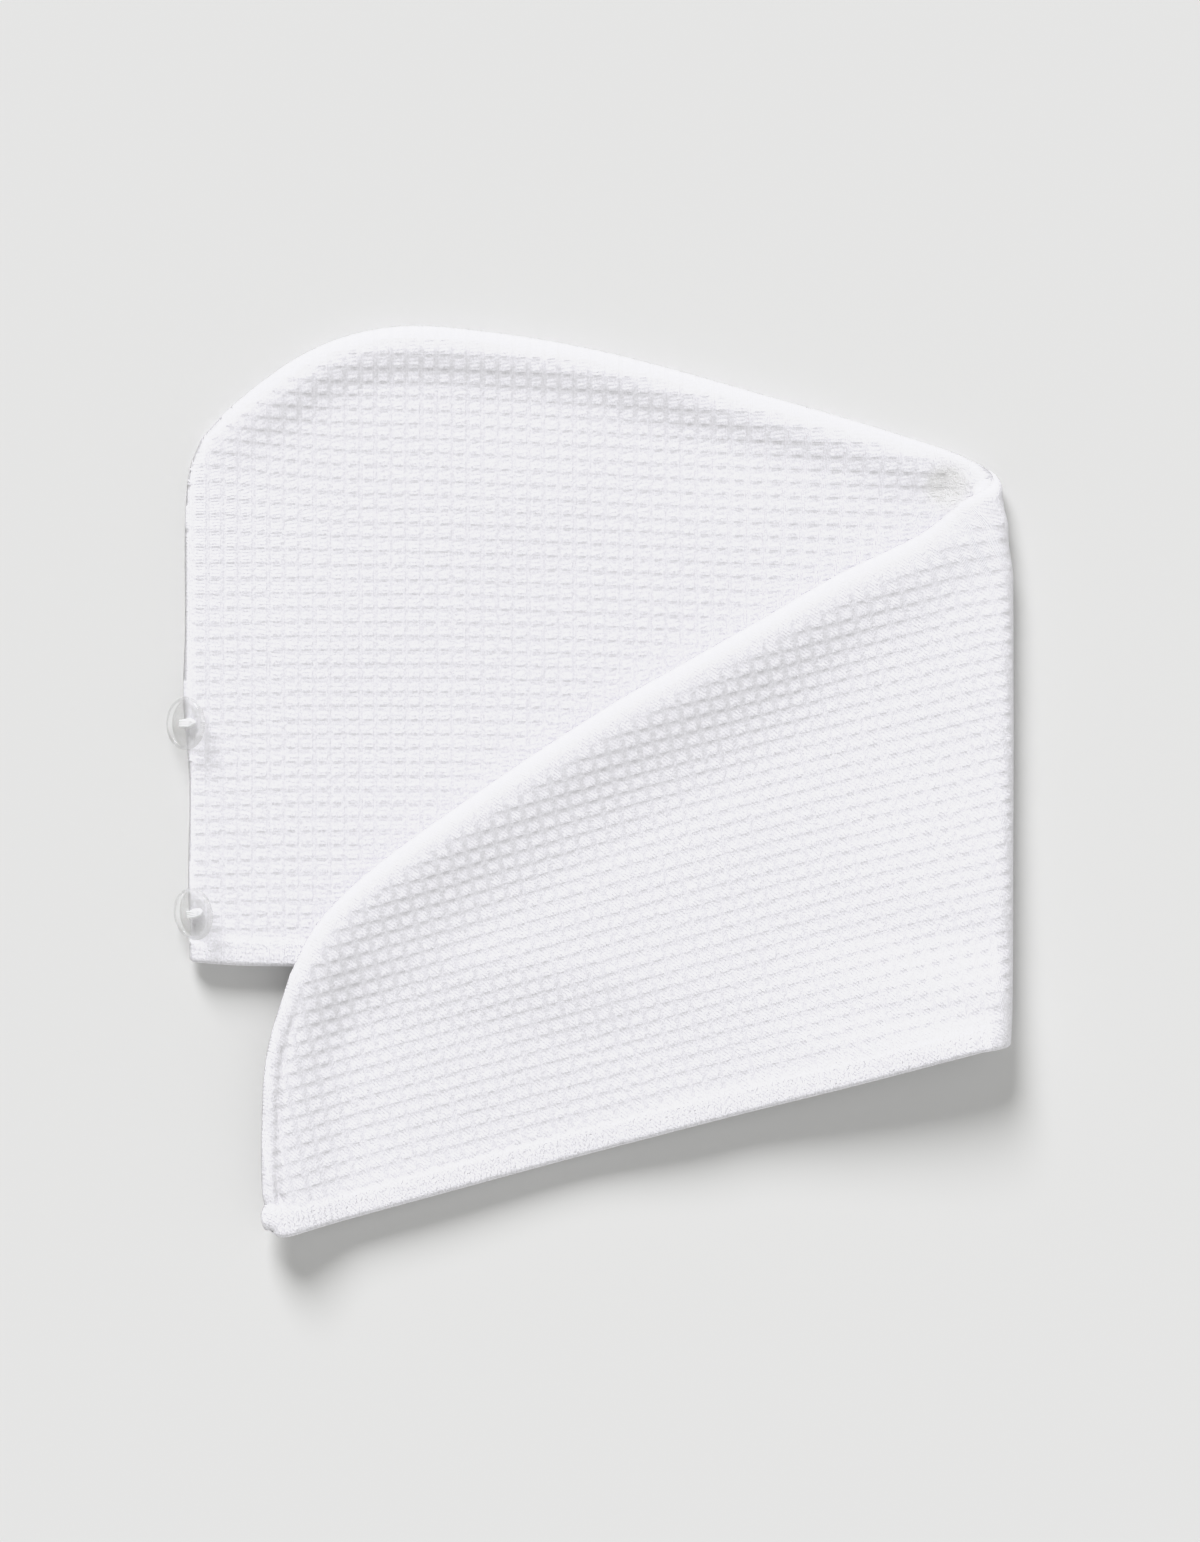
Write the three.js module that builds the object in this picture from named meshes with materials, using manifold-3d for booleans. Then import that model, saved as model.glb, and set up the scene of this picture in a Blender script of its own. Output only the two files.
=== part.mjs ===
// A hooded hair towel of white waffle cloth, lying flat with its long tail folded back over the hood.
// Two panels of one outline are sewn together round the back, the crown and the tail, and are open
// along the hem. Millimetres, +Z up, seen from above with the nape at the left and the fold at the right.
import * as THREE from "three";
import { mergeVertices } from "three/addons/utils/BufferGeometryUtils.js";
import Module from "manifold-3d";

const wasm = await Module();
wasm.setup();

// Cloth and layers
const CLOTH = 2;
const HOLLOW = 4.8;
const PRESSED_HALF = 2;
const FOLD_SLIT = 1.4;
const SEWN_GAP = 0.3;
const HEM_GAP = 0.4;
const HEM_WIDTH = 10;
const HEM_TURN = 0.25;

// The fold at the right edge: where it starts, and the cloth that its half turn takes
const FOLD_X = 162.9;
const FOLD_RUN = 18;
const FOLD_STEPS = 8;
const FOLD_REACH = 110;
const FOLD_SHIFT_REACH = 60;

// The tail's weight on the hood under it, from outside the tail's edge inwards, but not at the nape
const PRESS_FROM = 0;
const PRESS_RUN = 62;
const NAPE_END = -126;
const NAPE_REACH = 30;

// The ridge of sewn edges inside the seam
const RIDGE_FROM_SEAM = 8;
const SLACK_REACH = 20;

// The drape of the tail beyond the hood's hem
const STEEP_RUN = 36;
const GENTLE_RUN = 90;
const TOP_LAYER_LEAD = 8;

// Grid of the panels: distances from a seam, and counts of steps between them
const SEAM_ROWS = [0, 0.5, 2, 4.3, 7, 11, 16, 22, 30, 42];
const END_COLUMNS = [0, 0.5, 2, 4.3, 7, 12, 20];
const MIDDLE_ROWS = 8;
const HOOD_COLUMNS = 14;
const TAIL_COLUMNS = 13;
const LINE_STEP = 1.5;
const SIDE_BLEND = 120;
const SLOPE_STEP = 0.05;
const ON_SEAM = 0.02;
const SEAM_STEEPNESS = 1000;
const ROUNDING = 1e-9;
const MERGE_REACH = 1e-4;

// Buttons
const BUTTON_RADIUS = 10.85;
const BUTTON_THICKNESS = 3;
const BUTTON_SIDES = 30;
const BUTTON_TILT = 44;
const HOLE_RADIUS = 1.2;
const HOLE_SPACING = 5.4;
const HOLE_SIDES = 12;
const THREAD_RADIUS = 0.8;
const THREAD_SIDES = 8;
const KNOT_RADIUS = 2.2;
const KNOT_THICKNESS = 0.8;
const KNOT_STRETCH = 1.8;
const DISH_DEPTH = 0.8;

// The button's section from its axis out under the rim, round it and back into the shallow dish. inset is
// the distance in from the outer edge, height the way up from the middle plane.
const BUTTON_SECTION = [
  { inset: BUTTON_RADIUS, height: -BUTTON_THICKNESS / 2 },
  { inset: 1.2, height: -BUTTON_THICKNESS / 2 },
  { inset: 0.3, height: -0.9 },
  { inset: 0, height: 0 },
  { inset: 0.3, height: 0.9 },
  { inset: 1.0, height: BUTTON_THICKNESS / 2 },
  { inset: 1.8, height: BUTTON_THICKNESS / 2 },
  { inset: 2.8, height: 0.9 },
  { inset: BUTTON_RADIUS, height: BUTTON_THICKNESS / 2 - DISH_DEPTH },
];

// The seam as it lies, from the nape's hem round the back and the crown to the fold
const SIDE_LINE = [
  { x: -162.2, y: -74.6 },
  { x: -163.9, y: -45.0 },
  { x: -163.5, y: 0.4 },
  { x: -166.0, y: 33.2 },
  { x: -165.3, y: 60.0 },
  { x: -165.0, y: 112.0 },
  { x: -163.2, y: 128.0 },
  { x: -158.8, y: 139.5 },
];
const CROWN_LINE = [
  { x: -158.8, y: 139.5 },
  { x: -149.4, y: 150.0 },
  { x: -133.7, y: 163.2 },
  { x: -117.5, y: 174.0 },
  { x: -100.0, y: 181.4 },
  { x: -75.9, y: 185.6 },
  { x: -45.1, y: 183.6 },
  { x: 3.9, y: 175.4 },
  { x: 85.8, y: 153.2 },
  { x: 114.1, y: 145.2 },
  { x: 137.0, y: 139.2 },
  { x: 147.5, y: 136.3 },
  { x: 158.1, y: 132.9 },
  { x: 162.9, y: 130.5 },
];
// The seam of the folded tail, from the fold down to its rounded end
const DIAGONAL_LINE = [
  { x: 162.9, y: 115.6 },
  { x: 158.4, y: 113.4 },
  { x: 154.1, y: 110.6 },
  { x: 144.3, y: 105.3 },
  { x: 133.3, y: 98.6 },
  { x: 119.1, y: 91.8 },
  { x: 100.5, y: 82.6 },
  { x: 70.1, y: 64.8 },
  { x: 39.0, y: 47.2 },
  { x: 8.6, y: 29.8 },
  { x: -52.9, y: -10.9 },
  { x: -93.6, y: -41.4 },
  { x: -112.0, y: -60.8 },
  { x: -121.9, y: -79.7 },
];
const TAIL_END_LINE = [
  { x: -130.4, y: -184.3 },
  { x: -132.2, y: -181.6 },
  { x: -133.1, y: -178.2 },
  { x: -132.2, y: -174.4 },
  { x: -133.1, y: -170.2 },
  { x: -133.6, y: -160.0 },
  { x: -133.4, y: -139.0 },
  { x: -132.6, y: -121.0 },
  { x: -130.1, y: -106.2 },
  { x: -121.9, y: -79.7 },
];
const HOOD_HEM_LINE = [
  { x: -162.1, y: -74.6 },
  { x: -143.5, y: -75.9 },
  { x: -120.1, y: -76.3 },
  { x: -45.1, y: -78.3 },
  { x: 45.1, y: -86.5 },
  { x: 127.1, y: -99.5 },
  { x: 162.9, y: -106.0 },
];
const TAIL_HEM_LINE = [
  { x: 162.9, y: -111.0 },
  { x: 107.4, y: -125.2 },
  { x: 50.0, y: -139.8 },
  { x: -15.6, y: -157.2 },
  { x: -73.0, y: -172.8 },
  { x: -114.0, y: -184.1 },
  { x: -122.0, y: -186.5 },
  { x: -126.0, y: -187.0 },
  { x: -128.7, y: -186.0 },
  { x: -130.4, y: -184.3 },
];

// How each panel curls up or down to the seam. along is the way round the seam from the nape, roll the
// reach of the curl, ridge the height of the sewn edges over it and reach its width, slack the share that
// fills out slowly.
const SEAM_SECTIONS = [
  { along: 0, upperRoll: 4.5, upperRidge: 0.2, underRoll: 4.5, underRidge: 0, underSlack: 0, reach: 10 },
  { along: 200, upperRoll: 4.5, upperRidge: 0.4, underRoll: 4.5, underRidge: 0, underSlack: 0, reach: 10 },
  { along: 270, upperRoll: 4.5, upperRidge: 2.0, underRoll: 4.5, underRidge: 0, underSlack: 0, reach: 10 },
  { along: 330, upperRoll: 4.5, upperRidge: 2.0, underRoll: 4.5, underRidge: 0, underSlack: 0, reach: 10 },
  { along: 440, upperRoll: 4.5, upperRidge: 1.8, underRoll: 4.5, underRidge: 0, underSlack: 0, reach: 10 },
  { along: 530, upperRoll: 4.5, upperRidge: 1.8, underRoll: 4, underRidge: 0, underSlack: 0, reach: 9 },
  { along: 556, upperRoll: 3.5, upperRidge: 0.6, underRoll: 3.5, underRidge: 0, underSlack: 0.1, reach: 8 },
  { along: 584, upperRoll: 3.5, upperRidge: 0, underRoll: 3.5, underRidge: 0.3, underSlack: 0.1, reach: 10 },
  { along: 640, upperRoll: 4.5, upperRidge: 0, underRoll: 4.5, underRidge: 1.2, underSlack: 0, reach: 15 },
  { along: 720, upperRoll: 4.5, upperRidge: 0, underRoll: 4.5, underRidge: 1.4, underSlack: 0, reach: 16 },
  { along: 820, upperRoll: 4.5, upperRidge: 0, underRoll: 4.5, underRidge: 1.2, underSlack: 0, reach: 14 },
  { along: 930, upperRoll: 4.5, upperRidge: 0, underRoll: 4.5, underRidge: 0.8, underSlack: 0, reach: 12 },
  { along: 1040, upperRoll: 4.5, upperRidge: 0, underRoll: 4.5, underRidge: 0.4, underSlack: 0, reach: 10 },
];

// How the fold lies from its hem to its top. half is half the height between its two panels' middles, inner
// the way in from the seam to the fold's inner side, where the sewn edges bunch up at the top, and edge its
// outermost edge at the right.
const FOLD_SECTIONS = [
  { y: -112, half: 4.7, inner: 5.7, edge: 172.6 },
  { y: -92, half: 3.7, inner: 4.7, edge: 173.4 },
  { y: -60, half: 2.4, inner: 3.4, edge: 173.7 },
  { y: 20, half: 1.9, inner: 2.9, edge: 174.0 },
  { y: 82, half: 1.8, inner: 2.8, edge: 173.9 },
  { y: 102, half: 2.0, inner: 5.0, edge: 171.6 },
  { y: 115, half: 2.2, inner: 8.5, edge: 169.5 },
  { y: 124, half: 2.4, inner: 9.0, edge: 169.2 },
];

// How far the tail sinks past the hood's hem from left to right, steeply beside the hem and gently beyond
const DROP_SECTIONS = [
  { x: -133, steep: 1.4, gentle: 1.8 },
  { x: -75, steep: 1.6, gentle: 2.0 },
  { x: -10, steep: 2.3, gentle: 2.7 },
  { x: 50, steep: 0.7, gentle: 0.7 },
  { x: 100, steep: 0, gentle: 0 },
];

// Soft swells and dents that lie in the visible cloth
const SWELLS = [
  { panel: "upper", x: -25, y: 118, reach: 26, height: 0.7 },
  { panel: "upper", x: 55, y: 105, reach: 22, height: 0.6 },
  { panel: "upper", x: -110, y: 60, reach: 30, height: 0.5 },
  { panel: "upper", x: -60, y: 30, reach: 28, height: -0.4 },
  { panel: "upper", x: 152, y: 121, reach: 8, height: -1.6 },
  { panel: "under", x: 60, y: -20, reach: 34, height: 0.6 },
  { panel: "under", x: -10, y: -35, reach: 26, height: 0.5 },
];

const BUTTONS = [
  { name: "upper", x: -165.6, y: 23.4, z: 10.7, lean: 0 },
  { name: "lower", x: -162.4, y: -54.7, z: 11.8, lean: 8.5 },
];

// Half the height between the middles of the two panels where nothing presses on them
const HALF_PILLOW = (HOLLOW + CLOTH) / 2;

const clamp01 = (value) => Math.min(1, Math.max(0, value));
const smooth = (value) => clamp01(value) ** 2 * (3 - 2 * clamp01(value));
const mix = (from, to, share) => from + (to - from) * share;

// The towel laid out in one plane: the tail is turned back about the fold, so that its x runs on
function layOut({ x, y }) {
  return { s: 2 * FOLD_X + FOLD_RUN - x, y };
}

// A fine line through the rows of a table, with the length up to each of its points
function lineThrough(rows) {
  const knots = rows.map(({ s, y }) => new THREE.Vector3(s, y, 0));
  const curve = new THREE.CatmullRomCurve3(knots, false, "centripetal");
  const steps = Math.ceil(curve.getLength() / LINE_STEP);
  const points = curve.getSpacedPoints(steps).map(({ x, y }) => ({ s: x, y }));
  const lengths = [0];
  for (let i = 1; i < points.length; i++) {
    const step = Math.hypot(points[i].s - points[i - 1].s, points[i].y - points[i - 1].y);
    lengths.push(lengths[i - 1] + step);
  }
  return { points, lengths, length: lengths.at(-1) };
}

function pointOn(line, share) {
  const goal = share * line.length;
  const next = Math.max(1, line.lengths.findIndex((length) => length >= goal - ROUNDING));
  const part = (goal - line.lengths[next - 1]) / (line.lengths[next] - line.lengths[next - 1]);
  const [from, to] = [line.points[next - 1], line.points[next]];
  return { s: mix(from.s, to.s, part), y: mix(from.y, to.y, part) };
}

const asHood = ({ x, y }) => ({ s: x, y });
const side = lineThrough(SIDE_LINE.map(asHood));
const crown = lineThrough(CROWN_LINE.map(asHood));
const diagonal = lineThrough(DIAGONAL_LINE.map(layOut));
const tailEnd = lineThrough(TAIL_END_LINE.map(layOut));
const hoodHem = lineThrough(HOOD_HEM_LINE.map(asHood));
const tailHem = lineThrough(TAIL_HEM_LINE.map(layOut));
const foldTop = { points: [crown.points.at(-1), diagonal.points[0]] };
const foldHem = { points: [hoodHem.points.at(-1), tailHem.points[0]] };

// The whole seam in the laid-out plane, from the nape's hem to the tail's hem
const seam = [
  ...side.points,
  ...crown.points.slice(1),
  ...diagonal.points,
  ...tailEnd.points.slice(0, -1).reverse(),
];
const seamLengths = [0];
for (let i = 1; i < seam.length; i++) {
  const step = Math.hypot(seam[i].s - seam[i - 1].s, seam[i].y - seam[i - 1].y);
  seamLengths.push(seamLengths[i - 1] + step);
}

// The nearest place on the seam: how far it is, the way inwards from it, and where along the seam it lies
function nearestSeam(s, y) {
  let best = { distance: Infinity };
  for (let i = 1; i < seam.length; i++) {
    const [from, to] = [seam[i - 1], seam[i]];
    const length = seamLengths[i] - seamLengths[i - 1];
    const way = { s: (to.s - from.s) / length, y: (to.y - from.y) / length };
    const run = Math.min(length, Math.max(0, (s - from.s) * way.s + (y - from.y) * way.y));
    const off = { s: s - from.s - run * way.s, y: y - from.y - run * way.y };
    const distance = Math.hypot(off.s, off.y);
    if (distance < best.distance) {
      const clear = distance > ON_SEAM;
      const inward = clear ? { s: off.s / distance, y: off.y / distance } : { s: way.y, y: -way.s };
      best = { distance: clear ? distance : 0, inward, along: seamLengths[i - 1] + run };
    }
  }
  return best;
}

// A table's row at a place between its rows, worked out smoothly
function rowAt(rows, place, at) {
  const found = rows.findIndex((row) => row[place] >= at);
  const next = Math.max(1, found < 0 ? rows.length - 1 : found);
  const [from, to] = [rows[next - 1], rows[next]];
  const share = smooth((at - from[place]) / (to[place] - from[place]));
  return Object.fromEntries(Object.keys(from).map((key) => [key, mix(from[key], to[key], share)]));
}

// The height of a line that runs from left to right, or of its nearer end
function heightOf(line, x) {
  const found = line.findIndex((row) => row.x >= x);
  const next = Math.max(1, found < 0 ? line.length - 1 : found);
  const [from, to] = [line[next - 1], line[next]];
  return mix(from.y, to.y, clamp01((x - from.x) / (to.x - from.x)));
}

// Where a place of the laid-out plane lies from left to right, up to the fold
function liesAt(s) {
  return Math.min(s, 2 * FOLD_X + FOLD_RUN - s, FOLD_X);
}

const tailEdge = [...DIAGONAL_LINE].reverse();

// Half the height between the middles of the two panels. The tail's weight presses the hood under it, and
// the fold is flatter, and open at its hem.
function halfHeight(x, y) {
  const under = smooth((heightOf(tailEdge, x) - y - PRESS_FROM) / PRESS_RUN);
  const pressed = under * smooth((x - NAPE_END) / NAPE_REACH);
  const atFold = smooth(1 - (FOLD_X - x) / FOLD_REACH);
  return mix(mix(HALF_PILLOW, PRESSED_HALF, pressed), rowAt(FOLD_SECTIONS, "y", y).half, atFold);
}

// How far the tail sinks where it passes the hood's hem and reaches for the surface below
function drop(s, y, lead) {
  if (s <= FOLD_X + FOLD_RUN) return 0;
  const x = liesAt(s);
  const past = heightOf(HOOD_HEM_LINE, x) - y + lead;
  const { steep, gentle } = rowAt(DROP_SECTIONS, "x", x);
  return steep * smooth(past / STEEP_RUN) + gentle * smooth(past / GENTLE_RUN);
}

function swell(panel, s, y) {
  const inTail = s > FOLD_X + FOLD_RUN / 2;
  const x = inTail ? 2 * FOLD_X + FOLD_RUN - s : s;
  let height = 0;
  for (const bump of SWELLS) {
    const near = Math.hypot(x - bump.x, y - bump.y) / bump.reach;
    const shows = bump.panel === panel && inTail === (panel === "under");
    height += shows ? bump.height * Math.exp(-near * near) : 0;
  }
  return height;
}

// How far a panel's middle lies from the middle between the panels, towards the outside of the fold
function offset(panel, s, y, seamPlace) {
  const upper = panel === "upper";
  const section = rowAt(SEAM_SECTIONS, "along", seamPlace.along);
  const distance = seamPlace.distance;
  const reach = clamp01(distance / (upper ? section.upperRoll : section.underRoll));
  const curl = Math.sqrt(1 - (1 - reach) ** 2);
  const slack = upper ? 0 : section.underSlack;
  const filled = mix(curl, smooth(distance / SLACK_REACH), slack);
  const ridgeHeight = upper ? section.upperRidge : section.underRidge;
  const ridgeShape = Math.exp(-(((distance - RIDGE_FROM_SEAM) / section.reach) ** 2));
  const ridge = ridgeHeight * ridgeShape * smooth(distance / RIDGE_FROM_SEAM);
  const full = halfHeight(liesAt(s), y) - SEWN_GAP / 2;
  const bulge = SEWN_GAP / 2 + full * filled + ridge + curl * swell(panel, s, y);
  const lead = upper ? 0 : TOP_LAYER_LEAD * smooth(distance / RIDGE_FROM_SEAM);
  return (upper ? -bulge : bulge) - drop(s, y, lead);
}

// The panel's middle at a place of the laid-out plane, and the way straight out of the cloth there
function clothAt(panel, s, y) {
  const place = nearestSeam(s, y);
  const middle = offset(panel, s, y, place);
  const step = SLOPE_STEP;
  const from = { ...place, distance: Math.max(0, place.distance - step) };
  const to = { ...place, distance: place.distance + step };
  const towards = (offset(panel, s, y, to) - offset(panel, s, y, from)) / (to.distance - from.distance);
  const slopeS = (offset(panel, s + step, y, place) - offset(panel, s - step, y, place)) / (2 * step);
  const slopeY = (offset(panel, s, y + step, place) - offset(panel, s, y - step, place)) / (2 * step);
  const steepness = place.distance === 0 ? Math.sign(towards) * SEAM_STEEPNESS : towards;
  const out = new THREE.Vector3(
    -slopeS - steepness * place.inward.s,
    -slopeY - steepness * place.inward.y,
    1,
  ).normalize();
  return { middle, out };
}

// From the laid-out plane to where the cloth lies: flat hood, half a turn round the fold, tail on top
function wrap(s, y, away) {
  const x = liesAt(s);
  const turn = clamp01((s - FOLD_X) / FOLD_RUN) * Math.PI;
  const half = halfHeight(x, y);
  const fold = rowAt(FOLD_SECTIONS, "y", y);
  const outer = fold.half + CLOTH / 2;
  const radius = fold.inner + FOLD_SLIT / 2;
  const foldX = fold.edge - radius - outer;
  const shift = (foldX - FOLD_X) * smooth(1 - (FOLD_X - x) / FOLD_SHIFT_REACH);
  const reach = away < 0 ? away * fold.inner / outer : away;
  const lift = (half + (FOLD_SLIT + CLOTH) / 2) * (1 - Math.cos(turn));
  const z = half + CLOTH / 2 + lift - away * Math.cos(turn);
  return new THREE.Vector3(x + shift + (radius + reach) * Math.sin(turn), y, z);
}

// Columns run from the hem to the seam, at the same share of the hem and of the seam
function columnPlaces() {
  const columns = [];
  const hoodShare = (distance) => distance / hoodHem.length;
  const endShare = END_COLUMNS.at(-1);
  for (const distance of END_COLUMNS) {
    columns.push({ part: "hood", share: hoodShare(distance) });
  }
  for (let i = 1; i < HOOD_COLUMNS; i++) {
    columns.push({ part: "hood", share: mix(hoodShare(endShare), 1, i / HOOD_COLUMNS) });
  }
  for (let i = 0; i <= FOLD_STEPS; i++) {
    columns.push({ part: "fold", share: i / FOLD_STEPS });
  }
  const tailShare = 1 - endShare / tailHem.length;
  for (let i = 1; i < TAIL_COLUMNS; i++) {
    columns.push({ part: "tail", share: mix(0, tailShare, i / TAIL_COLUMNS) });
  }
  for (const distance of [...END_COLUMNS].reverse()) {
    columns.push({ part: "tail", share: 1 - distance / tailHem.length });
  }
  return columns;
}

function columnEnds({ part, share }) {
  if (part === "hood") return [pointOn(hoodHem, share), pointOn(crown, share)];
  if (part === "tail") return [pointOn(tailHem, share), pointOn(diagonal, share)];
  return [foldHem, foldTop].map(({ points: [from, to] }) => ({
    s: mix(from.s, to.s, share),
    y: mix(from.y, to.y, share),
  }));
}

// A place on a column, drawn over to the curved back edge or tail end where it is near one of them
function placeOn(column, share) {
  const [low, high] = columnEnds(column);
  const place = { s: mix(low.s, high.s, share), y: mix(low.y, high.y, share) };
  for (const [part, line, end] of [["hood", side, 0], ["tail", tailEnd, 1]]) {
    if (column.part !== part) continue;
    const length = (part === "hood" ? hoodHem : tailHem).length;
    const pull = 1 - smooth((Math.abs(column.share - end) * length) / SIDE_BLEND);
    const [from, to, on] = [pointOn(line, 0), pointOn(line, 1), pointOn(line, share)];
    place.s += pull * (on.s - mix(from.s, to.s, share));
    place.y += pull * (on.y - mix(from.y, to.y, share));
  }
  return place;
}

// Shares of a column's length for the panel proper, and for the hem band below it
function panelRows(length) {
  const start = HEM_WIDTH + HEM_GAP;
  const end = length - SEAM_ROWS.at(-1);
  const rows = [];
  for (let i = 0; i < MIDDLE_ROWS; i++) rows.push(mix(start, end, i / MIDDLE_ROWS));
  for (const distance of [...SEAM_ROWS].reverse()) rows.push(length - distance);
  return rows.map((row) => row / length);
}

function hemRows(length) {
  return [0, HEM_WIDTH / 2, HEM_WIDTH].map((row) => row / length);
}

// A closed shell of the cloth over a grid of places, thickened to both sides of its middle
function clothShell(panel, rowsFor, outerHalf, innerHalf) {
  const columns = columnPlaces();
  const plus = panel === "under" ? outerHalf : innerHalf;
  const minus = panel === "under" ? innerHalf : outerHalf;
  const skins = [];
  let rowCount = 0;
  for (const column of columns) {
    const [low, high] = columnEnds(column);
    const rows = rowsFor(Math.hypot(high.s - low.s, high.y - low.y));
    rowCount = rows.length;
    for (const share of rows) {
      const { s, y } = placeOn(column, share);
      const { middle, out } = clothAt(panel, s, y);
      for (const half of [plus, -minus]) {
        skins.push(wrap(s + out.x * half, y + out.y * half, middle + out.z * half));
      }
    }
  }
  const at = (column, row, skin) => 2 * (column * rowCount + row) + skin;
  const faces = [];
  const quad = (a, b, c, d) => faces.push(a, b, c, a, c, d);
  for (let i = 0; i + 1 < columns.length; i++) {
    for (let j = 0; j + 1 < rowCount; j++) {
      quad(at(i, j, 0), at(i, j + 1, 0), at(i + 1, j + 1, 0), at(i + 1, j, 0));
      quad(at(i, j, 1), at(i + 1, j, 1), at(i + 1, j + 1, 1), at(i, j + 1, 1));
    }
    const top = rowCount - 1;
    quad(at(i, 0, 0), at(i + 1, 0, 0), at(i + 1, 0, 1), at(i, 0, 1));
    quad(at(i + 1, top, 0), at(i, top, 0), at(i, top, 1), at(i + 1, top, 1));
  }
  const end = columns.length - 1;
  for (let j = 0; j + 1 < rowCount; j++) {
    quad(at(0, j + 1, 0), at(0, j, 0), at(0, j, 1), at(0, j + 1, 1));
    quad(at(end, j, 0), at(end, j + 1, 0), at(end, j + 1, 1), at(end, j, 1));
  }
  const geometry = new THREE.BufferGeometry().setFromPoints(skins);
  geometry.setIndex(faces);
  return geometry;
}

// A merged solid of a three.js shape, and a three.js shape of a solid
function solidOf(geometry) {
  const bare = geometry.clone();
  bare.deleteAttribute("normal");
  bare.deleteAttribute("uv");
  const merged = mergeVertices(bare, MERGE_REACH);
  const vertProperties = new Float32Array(merged.attributes.position.array);
  const triVerts = new Uint32Array(merged.index.array);
  return new wasm.Manifold(new wasm.Mesh({ numProp: 3, vertProperties, triVerts }));
}

function geometryOf(solid) {
  const { vertProperties, triVerts } = solid.getMesh();
  const geometry = new THREE.BufferGeometry();
  geometry.setAttribute("position", new THREE.BufferAttribute(new Float32Array(vertProperties), 3));
  geometry.setIndex(new THREE.BufferAttribute(new Uint32Array(triVerts), 1));
  return geometry;
}

// An upright rod round a place of the button's face, from one height to another
function rod(radius, sides, x, from, to) {
  const geometry = new THREE.CylinderGeometry(radius, radius, to - from, sides);
  geometry.rotateX(Math.PI / 2).translate(x, 0, (from + to) / 2);
  return geometry;
}

// A clear disc with a raised round rim, a shallow dish and two holes
function buttonGeometry() {
  const profile = BUTTON_SECTION.map(
    ({ inset, height }) => new THREE.Vector2(BUTTON_RADIUS - inset, height),
  );
  const disc = new THREE.LatheGeometry(profile, BUTTON_SIDES).rotateX(Math.PI / 2);
  let solid = solidOf(disc);
  for (const x of [-HOLE_SPACING / 2, HOLE_SPACING / 2]) {
    const hole = rod(HOLE_RADIUS, HOLE_SIDES, x, -BUTTON_THICKNESS, BUTTON_THICKNESS);
    solid = solid.subtract(solidOf(hole));
  }
  return geometryOf(solid);
}

// The sewing thread: a bar across the dish, two legs through the holes, and the knot behind the button
function threadGeometry() {
  const behind = -BUTTON_THICKNESS / 2 - SEWN_GAP;
  const bar = BUTTON_THICKNESS / 2 - DISH_DEPTH + SEWN_GAP + THREAD_RADIUS;
  const across = new THREE.CylinderGeometry(THREAD_RADIUS, THREAD_RADIUS, HOLE_SPACING, THREAD_SIDES);
  across.rotateZ(Math.PI / 2).translate(0, 0, bar);
  let solid = solidOf(across);
  for (const x of [-HOLE_SPACING / 2, HOLE_SPACING / 2]) {
    const low = behind - KNOT_THICKNESS / 2;
    solid = solid.add(solidOf(rod(THREAD_RADIUS, THREAD_SIDES, x, low, bar + THREAD_RADIUS / 2)));
  }
  const knot = rod(KNOT_RADIUS, HOLE_SIDES, 0, behind - KNOT_THICKNESS, behind);
  knot.scale(KNOT_STRETCH, 1, 1);
  return geometryOf(solid.add(solidOf(knot)));
}

const waffleCloth = { color: 0xf2f2f4, roughness: 0.95, metalness: 0 };
const clearPlastic = { color: 0xdfe3e4, roughness: 0.08, metalness: 0, transparent: true, opacity: 0.4 };
const cottonThread = { color: 0xf4f4f4, roughness: 0.8, metalness: 0 };

function piece(name, geometry, finish) {
  const mesh = new THREE.Mesh(geometry, new THREE.MeshStandardMaterial(finish));
  mesh.name = name;
  return mesh;
}

const towel = new THREE.Group();
for (const panel of ["upper", "under"]) {
  const half = CLOTH / 2;
  towel.add(piece(panel + "_panel", clothShell(panel, panelRows, half, half), waffleCloth));
  towel.add(piece(panel + "_hem", clothShell(panel, hemRows, half, half + HEM_TURN), waffleCloth));
}
for (const { name, x, y, z, lean } of BUTTONS) {
  const seat = new THREE.Group();
  seat.position.set(x, y, z);
  const tilt = THREE.MathUtils.degToRad(BUTTON_TILT);
  seat.rotation.set(0, -tilt, THREE.MathUtils.degToRad(lean), "ZYX");
  seat.add(piece("button_" + name, buttonGeometry(), clearPlastic));
  seat.add(piece("thread_" + name, threadGeometry(), cottonThread));
  towel.add(seat);
}

// The origin is under the middle of the whole towel
const box = new THREE.Box3().setFromObject(towel, true);
const middle = box.getCenter(new THREE.Vector3());
towel.position.set(-middle.x, -middle.y, -box.min.z);

export default towel;
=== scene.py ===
"""A hooded hair towel of white waffle cloth, lying flat with its long tail folded back over the hood.

Two panels of one outline are sewn together round the back, the crown and the tail, and are open along
the hem. The shapes are worked out in millimetres in the plane that the towel would lie in if its tail
were turned back, then bent round the fold, and become metres when they become meshes.
"""

import logging
import math
from dataclasses import dataclass, field
from enum import Enum

import bmesh
import bpy
import numpy as np
from mathutils import Matrix, Vector, geometry


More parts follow.
